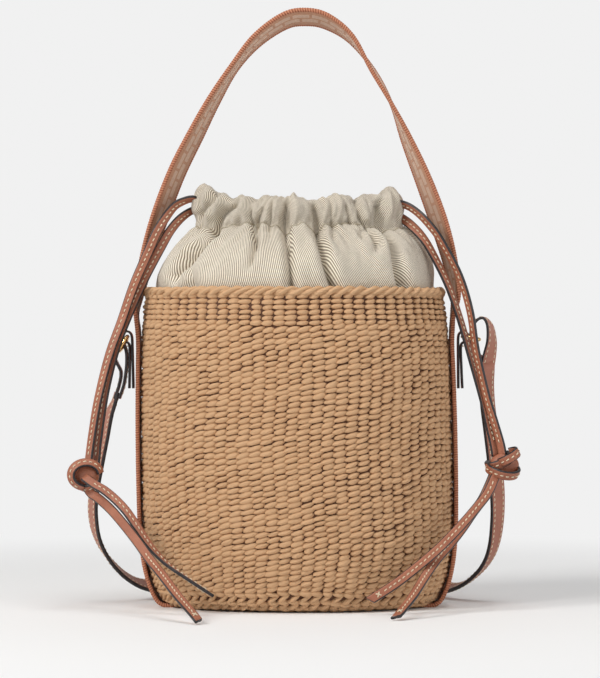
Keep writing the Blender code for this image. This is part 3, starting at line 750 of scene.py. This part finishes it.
strapRoute = [
    (-116.2, 0, 128.5, -12, 0), (-118.5, 1, 123.5, -20, 0), (-120.8, 3, 116.3, -25, 0),
    (-122.8, 5, 106.7, -27, 0), (-124.9, 7, 96.6, -27, 0), (-127.3, 10, 85.1, -27, 0),
    (-129.6, 12, 72.9, -27, 0), (-130.8, 14, 62.1, -27, 0), (-130.5, 16, 53.1, -25, 0),
    (-129.4, 19, 45.3, -20, 0), (-127.1, 22, 38.1, -14, 0), (-123.5, 26, 30.8, -10, 4),
    (-118.3, 30, 23.5, -8, 10), (-111, 36, 16, -10, 16), (-101.7, 44, 10.2, -18, 26),
    (-90, 55, 7.8, -28, 45), (-74, 69, 6.8, -30, 72), (-52, 80, 6.4, -20, 90),
    (-20, 85, 6.4, 0, 90), (15, 86, 6.4, 0, 90), (39, 93, 6.4, 0, 90), (50, 108, 6.4, 0, 90),
    (39, 123, 6.4, 0, 90), (13, 129, 6.4, 0, 90), (-30, 130, 6.4, 0, 90),
    (-60, 136, 6.4, 0, 90), (-73, 151, 6.4, 0, 90), (-61, 166, 6.4, 0, 90),
    (-30, 171, 6.4, 0, 90), (20, 171, 6.4, 0, 90), (55, 163, 6.4, 0, 90),
    (77, 144, 6.4, 0, 90), (86, 117, 6.4, 60, 82), (89, 90, 6.4, 52, 62),
    (92.5, 68, 6, 40, 38), (98.5, 52, 7, 24, 16), (106, 42, 10.5, 14, 4),
    (112.5, 35, 16, 14, 0), (118.2, 29, 22.8, 20, 0), (122.1, 24, 30.5, 28, 0),
    (124.4, 20, 39.5, 36, 0), (125.5, 17, 49.2, 42, 0), (126, 15, 59.5, 46, 0),
    (125.6, 13, 72.3, 50, 0), (124.2, 11, 86.3, 50, 0), (122.5, 9, 100.9, 50, 0),
    (120.8, 7, 113.6, 50, 0), (119.1, 5, 126.3, 50, 0), (118.3, 3, 139, 50, 0),
    (118.6, 2, 147.8, 50, 0),
]
loopRoutes = {
    "strap_loop_left": [
        (-113.1, 0, 130.5, 0, 0), (-110.3, 0, 139, 0, 0), (-109, 0, 147, 0, 0),
        (-108.4, 0, 154, 0, 0), (-108.8, 0, 160.5, 0, 0), (-110.8, 0, 165, 0, 0),
        (-114.5, 0, 166.2, 0, 0), (-117, 0, 163, 0, 0), (-116.6, 0, 157.5, 0, 0),
        (-114.4, 0, 152.5, 0, 0), (-112, 0, 147, 0, 0), (-113.2, 0, 139, 0, 0),
        (-116, 0, 130.5, 0, 0),
    ],
    "strap_loop_right": [
        (118.6, 2, 150, 50, 0), (120, 1, 158, 45, 0), (121.2, 0, 167, 32, 0),
        (120, 0, 176.5, 20, 0), (116, 0, 181.2, 8, 0), (111.5, 0, 179.5, 0, 0),
        (108.8, 0, 174.5, 0, 0), (108.2, 0, 168.6, 0, 0), (109.2, 0, 162.5, 5, 0),
        (111.8, 1, 157, 20, 0), (114.8, 3, 153, 38, 0), (116.6, 4.3, 149.5, 50, 0),
    ],
}
tieRoute = [  # (distance out, height)
    (104.8, 137), (104.4, 150), (104.2, 162.5), (105.2, 165.5), (107.5, 166.8), (109, 169.5),
    (108, 171.9), (105.6, 172.9), (103.5, 171.6), (102.7, 169), (102.5, 162.5), (102.4, 150),
    (102.3, 137),
]
bandRoute = [  # (distance out, height) down one side and under the base
    (98.1, 169), (98.4, 160), (98.9, 145), (99.5, 110), (99.5, 75), (98.9, 48), (97.2, 30),
    (94, 15.5), (89.4, 5), (85, 1.5), (79, 1.1), (60, 1.1), (30, 1.1), (0.3, 1.1),
]
handleRoute = [  # (x, height, roll), left end to right end
    (-103.1, 170, 0), (-103, 180, 2), (-101, 196, 8), (-94.6, 222.4, 16), (-87, 246.8, 20),
    (-76.8, 273.2, 20), (-65.2, 296.5, 18), (-54, 317.8, 13), (-40.8, 339.2, 7),
    (-26.5, 356.3, 12), (-9, 368.4, 16), (4.4, 370.8, 17), (17.5, 368, 14), (32.8, 357.2, 5),
    (46.6, 337, -7), (58, 316.5, -3), (67.8, 293.5, 10), (78.6, 267.5, 18), (88.2, 241.1, 20),
    (95, 217, 15), (98.5, 196, 8), (98.2, 180, 2), (98.1, 170, 0),
]


# roll: an extra turn of the strip about its route, in degrees, at its start and end
def framed(route, spacing, roll=(0.0, 0.0)):
    centres, along, across, out = stripFrames(smoothRoute(inMetres(route), spacing))
    share = np.linspace(0, 1, len(centres))[:, None] ** 0.6
    angle = np.radians(roll[0] + (roll[1] - roll[0]) * share)
    across = across * np.cos(angle) + out * np.sin(angle)
    return centres, along, across, np.cross(along, across)


def strapPiece(name, frames, settings, faceMaterial, body, slot, endCut=0.0):
    grid, cloth, painted = stripGrid(frames, settings)
    grid[-1] += frames[1][-1] * (cloth[-1, :, 1, None] * math.tan(math.radians(endCut)))
    materials = [faceMaterial, edgePaint]
    attributes = {"cloth": cloth}
    made = gridMesh(name, grid, materials, sideSlots=painted, capSlot=1, attributes=attributes)
    return carry(made, body, slot)


def stitchPiece(name, frames, settings, offsets, body, slot, inset=0.004, signs=(1, -1)):
    length = lengthAlong(frames[0])[-1]
    places = np.arange(inset, length - min(inset, 0.009), settings["pitch"])
    centre, forward, side, face = framesAt(frames, places)
    rows = [(offset, sign) for offset in offsets for sign in signs]
    lift = settings["lift"]
    where = np.vstack([centre + side * offset + face * sign * lift for offset, sign in rows])
    ahead = np.vstack([unit(forward + side * 0.12) for _ in rows])
    outward = np.vstack([face * sign for _, sign in rows])
    made = threadDashes(name, where, ahead, outward, settings, creamThread)
    return carry(made, body, slot)


def crossStitch(name, frames, settings, body, slot):  # two crossed stitches near the far end
    place = lengthAlong(frames[0])[-1] - settings["fromEnd"]
    centre, forward, side, face = framesAt(frames, [place])
    pairs = [(sign, slant) for sign in (1, -1) for slant in (1, -1)]
    where = np.vstack([centre + face * sign * settings["lift"] for sign, _ in pairs])
    ahead = np.vstack([unit(forward + side * slant) for _, slant in pairs])
    outward = np.vstack([face * sign for sign, _ in pairs])
    made = threadDashes(name, where, ahead, outward, settings, creamThread)
    return carry(made, body, slot)


leatherStitch = {"length": 0.0024, "width": 0.0008, "pitch": 0.0034}
lace = {
    "width": 0.006,
    "thickness": 0.0020,
    "groove": 0.00018,
    "stitch": dict(leatherStitch, height=0.0007, lift=0.00088),
    "cross": dict(length=0.0044, width=0.0009, height=0.0008, lift=0.00095, fromEnd=0.0062),
    "tailCut": 28.0,
    "rolls": {
        "lace_left_front_strand": (-62.0, 26.0),
        "lace_left_back_strand": (-55.0, 24.0),
        "lace_left_upper_tail": (-42.0, -8.0),
        "lace_right_front_strand": (52.0, 24.0),
        "lace_right_back_strand": (-8.0, -14.0),
    },
    "plainStart": {"lace_left_lower_tail": 0.075, "lace_right_lower_tail": 0.02},
    # rows of the routes inside the knots
    "before": {
        "lace_left_upper_tail": [(-133, -36.2, 82.6, -78, -38)],
        "lace_left_lower_tail": [(-132.2, -30, 77.2, -86, -38)],
        "lace_right_upper_tail": [(122.6, -33, 85.6, 98, -32)],
        "lace_right_lower_tail": [(120.8, -28.6, 84, 92, -28)],
    },
    "after": {
        "lace_left_front_strand": [(-131.6, -28.5, 85, -72, 4)],
        "lace_left_back_strand": [(-127, -25, 85, -70, 4)],
        "lace_right_front_strand": [(126.8, -26.8, 95, 102, 12)],
        "lace_right_back_strand": [(122.6, -24, 95, 74, 8)],
    },
    "lengths": {
        "lace_left_front_strand": 0.196,
        "lace_left_back_strand": 0.177,
        "lace_left_upper_tail": 0.108,
        "lace_left_lower_tail": 0.153,
        "lace_right_front_strand": 0.179,
        "lace_right_back_strand": 0.168,
        "lace_right_upper_tail": 0.119,
        "lace_right_lower_tail": 0.136,
    },
}


def makeLaces():
    for name, route in laceRoutes.items():
        side = "left" if "left" in name else "right"
        body, slot, tail = side + "_lace", "lace_leather", "tail" in name
        route = lace["before"].get(name, []) + route + lace["after"].get(name, [])
        frames = framed(route, 0.0022, lace["rolls"].get(name, (0.0, 0.0)))
        cut = lace["tailCut"] * (1 if side == "left" else -1) if tail else 0.0
        strip = strapPiece(name + "_leather", frames, lace, laceLeather, body, slot, cut)
        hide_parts(name)
        inset = lace["plainStart"].get(name, 0.009)
        stitches = name + "_stitches"
        sewn = [stitchPiece(stitches, frames, lace["stitch"], (0.0,), body, slot, inset)]
        if tail:
            sewn.append(crossStitch(name + "_cross", frames, lace["cross"], body, slot))


# Knots: bands of the lace wound round a small core

knotShapes = {
    # core middle and radii, then wraps as (middle, radius across, radius up, axis, from, to, cone)
    "left": {
        "core": ((-0.1322, -0.0285, 0.0832), (0.0082, 0.0048, 0.0070)),
        "wraps": [
            ((-0.1322, -0.0325, 0.0838), 0.0092, 0.0078, (0.14, -0.98, -0.14), 5.0, 262.0, 42.0),
            ((-0.1312, -0.0285, 0.0800), 0.0060, 0.0052, (-0.16, -0.92, 0.34), 120.0, 330.0, 20.0),
        ],
    },
    "right": {
        "core": ((0.1276, -0.0262, 0.0895), (0.0092, 0.0044, 0.0076)),
        "wraps": [
            ((0.1264, -0.0290, 0.0868), 0.0096, 0.0088, (-0.26, 0.34, -0.90), -50.0, 230.0, 6.0),
            ((0.1298, -0.0320, 0.0952), 0.0064, 0.0046, (-0.42, -0.15, 0.89), 165.0, -75.0, 0.0),
            ((0.1240, -0.0262, 0.0920), 0.0078, 0.0070, (0.30, 0.25, -0.92), -30.0, 210.0, 0.0),
        ],
    },
}


def wrapFrames(middle, wide, tall, axis, start, end, cone):  # an arc of band about the axis
    axis, cone = unit(np.array(axis)), math.radians(cone)
    first = np.array([1.0, 0, 0])
    first = unit(first - axis * first.dot(axis))
    second = np.cross(first, axis)
    towards = np.array([0, -1.0, 0]) if abs(axis[2]) > 0.6 else np.array([0, 0, 1.0])
    second = second if second.dot(towards) > 0 else -second
    angle = np.radians(np.linspace(start, end, 34))[:, None]
    centres = np.array(middle) + first * np.cos(angle) * wide + second * np.sin(angle) * tall
    centres = centres + axis * np.linspace(-0.0012, 0.0012, 34)[:, None]
    along = unit(np.gradient(centres, axis=0))
    radial = unit(first * np.cos(angle) / wide + second * np.sin(angle) / tall)
    out = unit(radial * math.cos(cone) + axis * math.sin(cone))
    out = unit(out - along * (out * along).sum(1)[:, None])
    return centres, along, np.cross(out, along), out


def makeKnots():
    turns = np.linspace(0, 2 * math.pi, 20, endpoint=False)
    rises = np.linspace(-math.pi / 2 + 0.06, math.pi / 2 - 0.06, 12)
    level, rise = np.cos(rises)[:, None], np.sin(rises)[:, None]
    ball = np.stack([level * np.cos(turns), level * np.sin(turns), rise + 0 * turns], -1)
    for side, shape in knotShapes.items():
        knot, body, slot = f"lace_{side}_knot", side + "_lace", "lace_leather"
        middle, radii = (np.array(value) for value in shape["core"])
        carry(gridMesh(knot + "_core", middle + ball * radii, [laceLeather]), body, slot, knot)
        for number, wrap in enumerate(shape["wraps"]):
            frames = wrapFrames(*wrap)
            name = f"{knot}_wrap_{number + 1}"
            strapPiece(name, frames, lace, laceLeather, body, slot)
            stitchPiece(name + "_stitches", frames, lace["stitch"], (0.0,), body, slot, 0.003, (1,))


# Shoulder strap, its end loops, the ties and the rings

strap = {
    "width": 0.012,
    "thickness": 0.0024,
    "groove": 0.0001,
    "rows": (-0.0038, 0.0038),
    "stitch": dict(leatherStitch, height=0.0006, lift=0.00108),
    "length": 0.885,
    "leftEnd": (-114.7, 0, 134.5, -8, 0),  # rows of the route inside the end loops
    "rightEnd": (118.7, 1.5, 154, 50, 0),
}
loop = dict(strap, thickness=0.0017, stitch=dict(strap["stitch"], height=0.0005, lift=0.00072))
tie = {
    "width": 0.011,
    "thickness": 0.0013,
    "stitch": {"length": 0.0024, "width": 0.0010, "height": 0.0010},
    "stitchHeight": 0.1632,
    "stitchPlaces": (-0.0034, 0.0, 0.0034),
}
ring = {
    "wire": 0.0013,
    "spacing": 0.0105,
    "halfOpening": 0.0082,
    "barOut": 0.1055,
    "barHeight": 0.1695,
    "tilts": {"left": 60.0, "right": 10.0},
}


def makeStrap():
    name, slot = "shoulder_strap", "strap_leather"
    frames = framed([strap["leftEnd"]] + strapRoute + [strap["rightEnd"]], 0.004)
    piece = strapPiece(name + "_leather", frames, strap, strapLeather, "strap", slot)
    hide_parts(name)
    sewn = stitchPiece(name + "_stitches", frames, strap["stitch"], strap["rows"], "strap", slot)


def makeLoops():
    for name, route in loopRoutes.items():
        frames = framed(route, 0.0016)
        slot, rows, stitches = "strap_leather", strap["rows"], name + "_stitches"
        band = strapPiece(name + "_leather", frames, loop, strapLeather, None, slot)
        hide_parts(name)
        sewn = stitchPiece(stitches, frames, loop["stitch"], rows, None, slot, signs=(-1,))
        for piece in (band, sewn):
            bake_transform(piece)


def makeTie(sign, word):
    rows = [(sign * out + lean * height, 0, height, 0, 0) for out, height in tieRoute]
    frames = framed(rows, 0.0012)
    piece = strapPiece("tie_" + word + "_leather", frames, tie, tieLeather, "bag", "tie_leather")
    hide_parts("tie_" + word)
    outer = frames[0][3:]
    outer = outer[np.abs(outer[:, 2] - tie["stitchHeight"]).argmin()]
    where = [outer + np.array([sign * 0.0009, offset, 0]) for offset in tie["stitchPlaces"]]
    ahead, outward = np.tile([0, 1.0, 0], (3, 1)), np.tile([sign * 1.0, 0, 0], (3, 1))
    name = "tie_" + word + "_stitches"
    sewn = threadDashes(name, np.array(where), ahead, outward, tie["stitch"], creamThread)
    carry(sewn, "bag", "tie_leather")


def roundedWave(values):  # squares off a sine or cosine
    return np.sign(values) * np.abs(values) ** 0.6


def makeRing(sign, word):
    turns = np.linspace(0, 2 * math.pi, 64, endpoint=False)
    sides = np.linspace(0, 2 * math.pi, 12, endpoint=False)[None, :, None]
    tilt = math.radians(ring["tilts"][word])
    outwards = np.array([sign * math.cos(tilt), 0, -math.sin(tilt)])
    sideways = np.array([0, 1.0, 0])
    bar = np.array([sign * ring["barOut"] + lean * ring["barHeight"], 0, ring["barHeight"]])
    half = ring["spacing"] / 2
    long = half + roundedWave(np.cos(turns)) * half
    wide = roundedWave(np.sin(turns)) * ring["halfOpening"]
    path = bar + outwards * long[:, None] + sideways * wide[:, None]
    along = unit(np.roll(path, -1, axis=0) - np.roll(path, 1, axis=0))
    lifted = np.cross(outwards, sideways)
    outside = np.cross(along, lifted)
    wire = np.cos(sides) * outside[:, None] + np.sin(sides) * lifted
    grid = path[:, None] + wire * ring["wire"]
    grid = np.concatenate([grid, grid[:1]])
    made = gridMesh("ring_" + word + "_gold", grid, [gold], caps=False)
    carry(made, word + "_ring", "gold_metal", "ring_" + word)


makeLaces()
makeKnots()
makeStrap()
makeLoops()
for sign, word in ((-1, "left"), (1, "right")):
    makeTie(sign, word)
    makeRing(sign, word)
print("leather ready")

# Webbing handle and side bands, one continuous band

webbingBand = {
    "width": 0.0235,
    "thickness": 0.0018,
    "edge": 0.00135,
    "lay": 0.0015,
    "spacing": 0.002,
    "bend": (0.170, 0.195),  # heights between which it goes over from the bag to the handle
}
# (distance out, height) between a side band and the handle
joinRows = [(98.4, 164), (98.8, 174), (99.7, 184)]


def bandFrames():
    side = [(out, height) for out, height in bandRoute[::-1][1:] if height < 155] + joinRows
    left = [(-out + lean * height, 0, height, 0) for out, height in side]
    right = [(out + lean * height, 0, height, 0) for out, height in side[::-1]]
    arch = [(x, 0, height, roll) for x, height, roll in handleRoute[2:-2]]
    rows = [(0, 0, 1.1, 0)] + left + arch + right + [(0.1, 0, 1.1, 0)]
    route = smoothRoute(inMetres(rows), webbingBand["spacing"])
    centres = route[:, :3]
    along = unit(np.gradient(centres, axis=0))
    inwards = np.cross([0, 1.0, 0], along)
    roll = np.radians(route[:, 3:4])
    across = unit(np.array([0, 1.0, 0]) * np.cos(roll) + inwards * np.sin(roll))
    return centres, along, across, np.cross(along, across)


def makeWebbing():
    frames = bandFrames()
    grid, cloth, _ = stripGrid(frames, webbingBand)
    band = gridMesh("webbing_band", grid, [webbing], attributes={"cloth": cloth})
    nodes = ("handle_webbing", "side_band_left", "side_band_right")
    pieces = [carry(band, None, "webbing", *nodes)]
    length = lengthAlong(frames[0])[-1]
    fine = np.linspace(0, length, round(length / 0.00030))
    centre, _, side, face = framesAt(frames, fine)
    angles = np.linspace(0, 2 * math.pi, 10, endpoint=False)
    for word, sign in (("front", -1), ("back", 1)):
        lay = 2 * math.pi * fine / webbingBand["lay"] * sign
        lobes = 1 + 0.05 * np.cos(lay[:, None] + angles)
        lobes = lobes + 0.02 * rng.standard_normal((len(fine), 1))
        tall = webbingBand["edge"] * lobes
        middle = centre + side * sign * (webbingBand["width"] / 2 - 0.0002)
        around = np.cos(angles)[None, :, None] * side[:, None] * 0.95
        around = around + np.sin(angles)[None, :, None] * face[:, None]
        grid = middle[:, None] + around * tall[..., None]
        strand = np.zeros(grid.shape)
        strand[..., 0] = fine[:, None]
        strand[..., 1] = angles[None, :] * sign
        edge = gridMesh("webbing_edge_" + word, grid, [whipped], attributes={"strand": strand})
        pieces.append(carry(edge, None, "webbing"))
    for piece in pieces:
        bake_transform(piece)


makeWebbing()
print("webbing ready")

# Linen pouch

pouch = {
    "outline": [  # (half width, half depth, height) in millimetres, from the base up to the hem
        (30, 15, 6.6), (60, 34, 6.6), (79, 51, 7.2), (82, 54, 11), (86.2, 58.2, 20),
        (89.5, 61.5, 32), (91.4, 63.4, 48), (91.8, 63.8, 90), (90.5, 62.5, 150),
        (87.4, 59.4, 185), (87.5, 59.8, 196), (87.2, 59.8, 204), (85.8, 57.2, 211),
        (82.5, 52, 219), (76, 44, 227.5), (70, 36, 233.5), (65, 29.5, 237.5),
        (63.8, 27.8, 242), (64.5, 28.5, 250), (63.8, 27.8, 257), (61.5, 25, 261.8),
        (58, 21.5, 263.2), (54.2, 17.8, 261.8), (52, 15.8, 257), (51.2, 15, 248),
        (51.2, 15, 239.5),
    ],
    "around": 800,
    "spacing": 0.0011,
    "thickness": 0.0009,
    "hemHeight": 0.2385,
    "hemStitch": {"length": 0.0019, "width": 0.0006, "height": 0.0006},
    "flatSize": (0.55, 0.36),
}
folds = [
    # (depth, half width, points (x, height) down the crease) in millimetres, from left to right
    (3.0, 2.0, [(-51, 262), (-55, 254), (-61, 246)]),
    (4.2, 2.6, [(-40, 259), (-49, 244), (-54, 231), (-68, 219), (-74, 208)]),
    (2.2, 1.5, [(-29, 254), (-30, 247), (-27, 231)]),
    (2.6, 1.8, [(-23, 253), (-25, 241), (-26.5, 228), (-28, 218)]),
    (4.8, 2.2, [(-8, 257), (-9, 241), (-8, 229), (-5.5, 219), (-2.5, 206), (-1, 196)]),
    (2.2, 1.3, [(-5, 257), (-5.8, 244), (-5.5, 228)]),
    (5.2, 2.4, [(10, 257), (10.5, 241), (12, 231), (17, 215), (23, 202), (26, 194)]),
    (2.6, 1.8, [(29.5, 254), (31.5, 240), (39, 235)]),
    (3.2, 2.0, [(36, 261), (38, 244), (42.5, 235), (48, 227)]),
    (4.4, 2.6, [(50.5, 256), (49, 239), (57, 228), (66.5, 202)]),
    (2.0, 3.0, [(-62, 226), (-66, 214), (-63, 202)]),
    (1.6, 1.4, [(-16, 256), (-17, 244), (-18, 236)]),
    (1.6, 1.4, [(20, 256), (20.5, 244), (21, 234)]),
    (1.4, 1.4, [(43, 258), (44, 248), (45, 240)]),
]


def backFolds():
    places = np.linspace(-56, 56, 13) + rng.uniform(-3, 3, 13)
    made = []
    for place in places:
        spread = place * rng.uniform(0.15, 0.35)
        low = rng.uniform(198, 226)
        points = [(place, 258), (place * 1.03, 240)]
        points += [(place + spread * 0.5, 226), (place + spread, low)]
        made.append((rng.uniform(1.8, 4.6), rng.uniform(1.6, 2.6), points))
    return made


def eased(share):
    return share * share * (3 - 2 * share)


def ramped(values, low, high):
    return np.clip((values - low) / (high - low), 0, 1)


def foldDepth(x, height, creases):  # how far the creases push a point of the cloth in
    total = np.zeros(np.shape(x))
    for depth, width, points in creases:
        points = np.array(points, float)[::-1] / 1000
        at = np.interp(height, points[:, 1], points[:, 0])
        low, high = points[0, 1], points[-1, 1]
        fade = np.clip((height - low + 0.009) / 0.009, 0, 1)
        fade = eased(fade * np.clip((high + 0.006 - height) / 0.006, 0, 1))
        away = (x - at) / (width * 1.45 / 1000)
        crease = np.exp(-(np.abs(away) ** 1.4)) - 0.42 * np.exp(-((away / 2.8) ** 2))
        total += depth * 2.7 / 1000 * fade * crease
    return total


def pouchGrid():
    outline = [(half, height, 0, depth / 1000) for half, depth, height in pouch["outline"]]
    fine = smoothRoute(inMetres(outline), pouch["spacing"])
    half, height, depth = fine[:, 0], fine[:, 1], fine[:, 3]
    share = np.arange(pouch["around"]) / pouch["around"]
    grid = np.zeros((len(fine), pouch["around"], 3))
    normals = np.zeros_like(grid)
    dHalf, dHeight = np.gradient(half), np.gradient(height)
    for i in range(len(fine)):
        oval = ovalTable(half[i], depth[i])
        angle = np.interp(share, oval[0], oval[1])
        level = np.full(len(angle), height[i])
        flat = unit(np.column_stack([np.cos(angle) / half[i], np.sin(angle) / depth[i]]))
        size = math.hypot(dHalf[i], dHeight[i]) + 1e-9
        grid[i] = np.column_stack([half[i] * np.cos(angle), depth[i] * np.sin(angle), level])
        upward = np.full(len(angle), -dHalf[i] / size)
        normals[i] = np.column_stack([flat * dHeight[i] / size, upward])
    return grid, normals, lengthAlong(fine)


def shapedPouch():
    grid, normals, far = pouchGrid()
    top = int(np.argmax(grid[:, 0, 2]))
    height = grid[..., 2]
    x, y = grid[..., 0], grid[..., 1]
    turn = np.arctan2(y / 0.06, x / 0.09)
    inner = (np.arange(len(grid)) > top)[:, None]
    front = foldDepth(x, height, folds)
    back = foldDepth(x, height, backFolds())
    nearFront = 1 / (1 + np.exp(y / 0.004))
    pushed = front * nearFront + back * (1 - nearFront)
    gathered = ramped(height, 0.205, 0.235)
    ripple = 0.00080 * np.sin(turn * 31 + 2.2 * np.sin(turn * 5) + height * 160)
    ripple = ripple + 0.00050 * np.sin(turn * 53 + 1.9 * np.sin(turn * 7 + 1) - height * 240)
    sag = 0.0009 * np.sin(turn * 9 + 1.0 + height * 60) * ramped(height, 0.19, 0.21)
    seam = np.exp(-(((height - pouch["hemHeight"] - 0.0018 * np.sin(turn * 5)) / 0.0016) ** 2))
    push = -pushed * np.where(inner, 0.55, 1.0) + gathered * ripple + sag - 0.0011 * seam * ~inner
    deepest = np.where(height > 0.238, 0.0058, 0.0125)
    push = np.maximum(push, -deepest) * ramped(height, 0.185, 0.197)
    shaped = grid + normals * np.where(inner, 0.6, 1.0)[..., None] * push[..., None]
    bellied = np.exp(-(((height - 0.217) / 0.013) ** 2)) * (1 - inner)
    shaped[..., 1] -= 0.0035 * bellied * nearFront * (1 - np.clip(np.abs(x) / 0.08, 0, 1) ** 2)
    knob = np.exp(-(((x + 0.0600) / 0.0125) ** 2)) + 0.95 * np.exp(-(((x - 0.0600) / 0.0115) ** 2))
    lower = 0.0068 + 0.0010 * np.sin(x * 150) + 0.0006 * np.sin(x * 420)
    shaped[..., 2] -= lower * (1 - np.clip(knob, 0, 1)) * ramped(height, 0.240, 0.258)
    shaped[..., 2] += 0.0007 * np.sin(x * 330 + 1) * ramped(height, 0.25, 0.26)
    shift = ramped(shaped[..., 2], 0.200, 0.225)
    shaped[..., 0] += lean * shaped[..., 2] + 0.0032 * eased(shift)
    return shaped, far, top


def gridNormals(grid):
    around = np.roll(grid, -1, axis=1) - np.roll(grid, 1, axis=1)
    down = np.gradient(grid, axis=0)
    return unit(np.cross(around, down))


def makePouch():
    outer, far, top = shapedPouch()
    normals = gridNormals(outer)
    third = len(normals) // 3
    if (normals[third] * (outer[third] - outer.mean((0, 1)))).sum() < 0:
        normals = -normals
    inner = outer - normals * pouch["thickness"]
    grid = np.concatenate([outer, inner[::-1]])
    around = pouch["around"]
    width = np.linspace(0, 0.52, around, endpoint=False)  # the weave's count runs out and back
    cloth = np.zeros(grid.shape)
    cloth[..., 0] = np.where(width < 0.26, width, 0.52 - width)
    cloth[..., 1] = np.concatenate([far, far[::-1]])[:, None]
    made = gridMesh("pouch_linen", grid, [linen], attributes={"cloth": cloth})
    carry(made, "bag", "linen", "pouch_body", "pouch_base", "drawstring_tunnel")
    hemRow = int(np.abs(grid[:top, 0, 2] - pouch["hemHeight"]).argmin())
    chosen = np.arange(0, around, 2)
    wave = np.round(1.6 * np.sin(5 * 2 * math.pi * chosen / around)).astype(int)
    outward = normals[hemRow, chosen]
    where = outer[hemRow + wave, chosen] + outward * 0.0002
    ahead = unit(np.roll(outer[hemRow], -1, axis=0) - np.roll(outer[hemRow], 1, axis=0))[chosen]
    stitch = pouch["hemStitch"]
    hem = threadDashes("pouch_hem_stitches", where, ahead, outward, stitch, linenThread)
    carry(hem, "bag", "linen")


def makeLaceInside(name, sign, height):  # the lace's stretch inside the tunnel
    turns = np.radians(np.linspace(10, 350, 90))
    rows = [(sign * 57 * math.cos(a) - 0.4, 19 * math.sin(a), height, 0, 90) for a in turns]
    frames = framed(rows, 0.003)
    piece = strapPiece(name + "_leather", frames, lace, laceLeather, "bag", "lace_leather")
    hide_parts(name)


makePouch()
makeLaceInside("lace_left_inside", -1, 248.8)
makeLaceInside("lace_right_inside", 1, 243.6)
print("pouch ready")

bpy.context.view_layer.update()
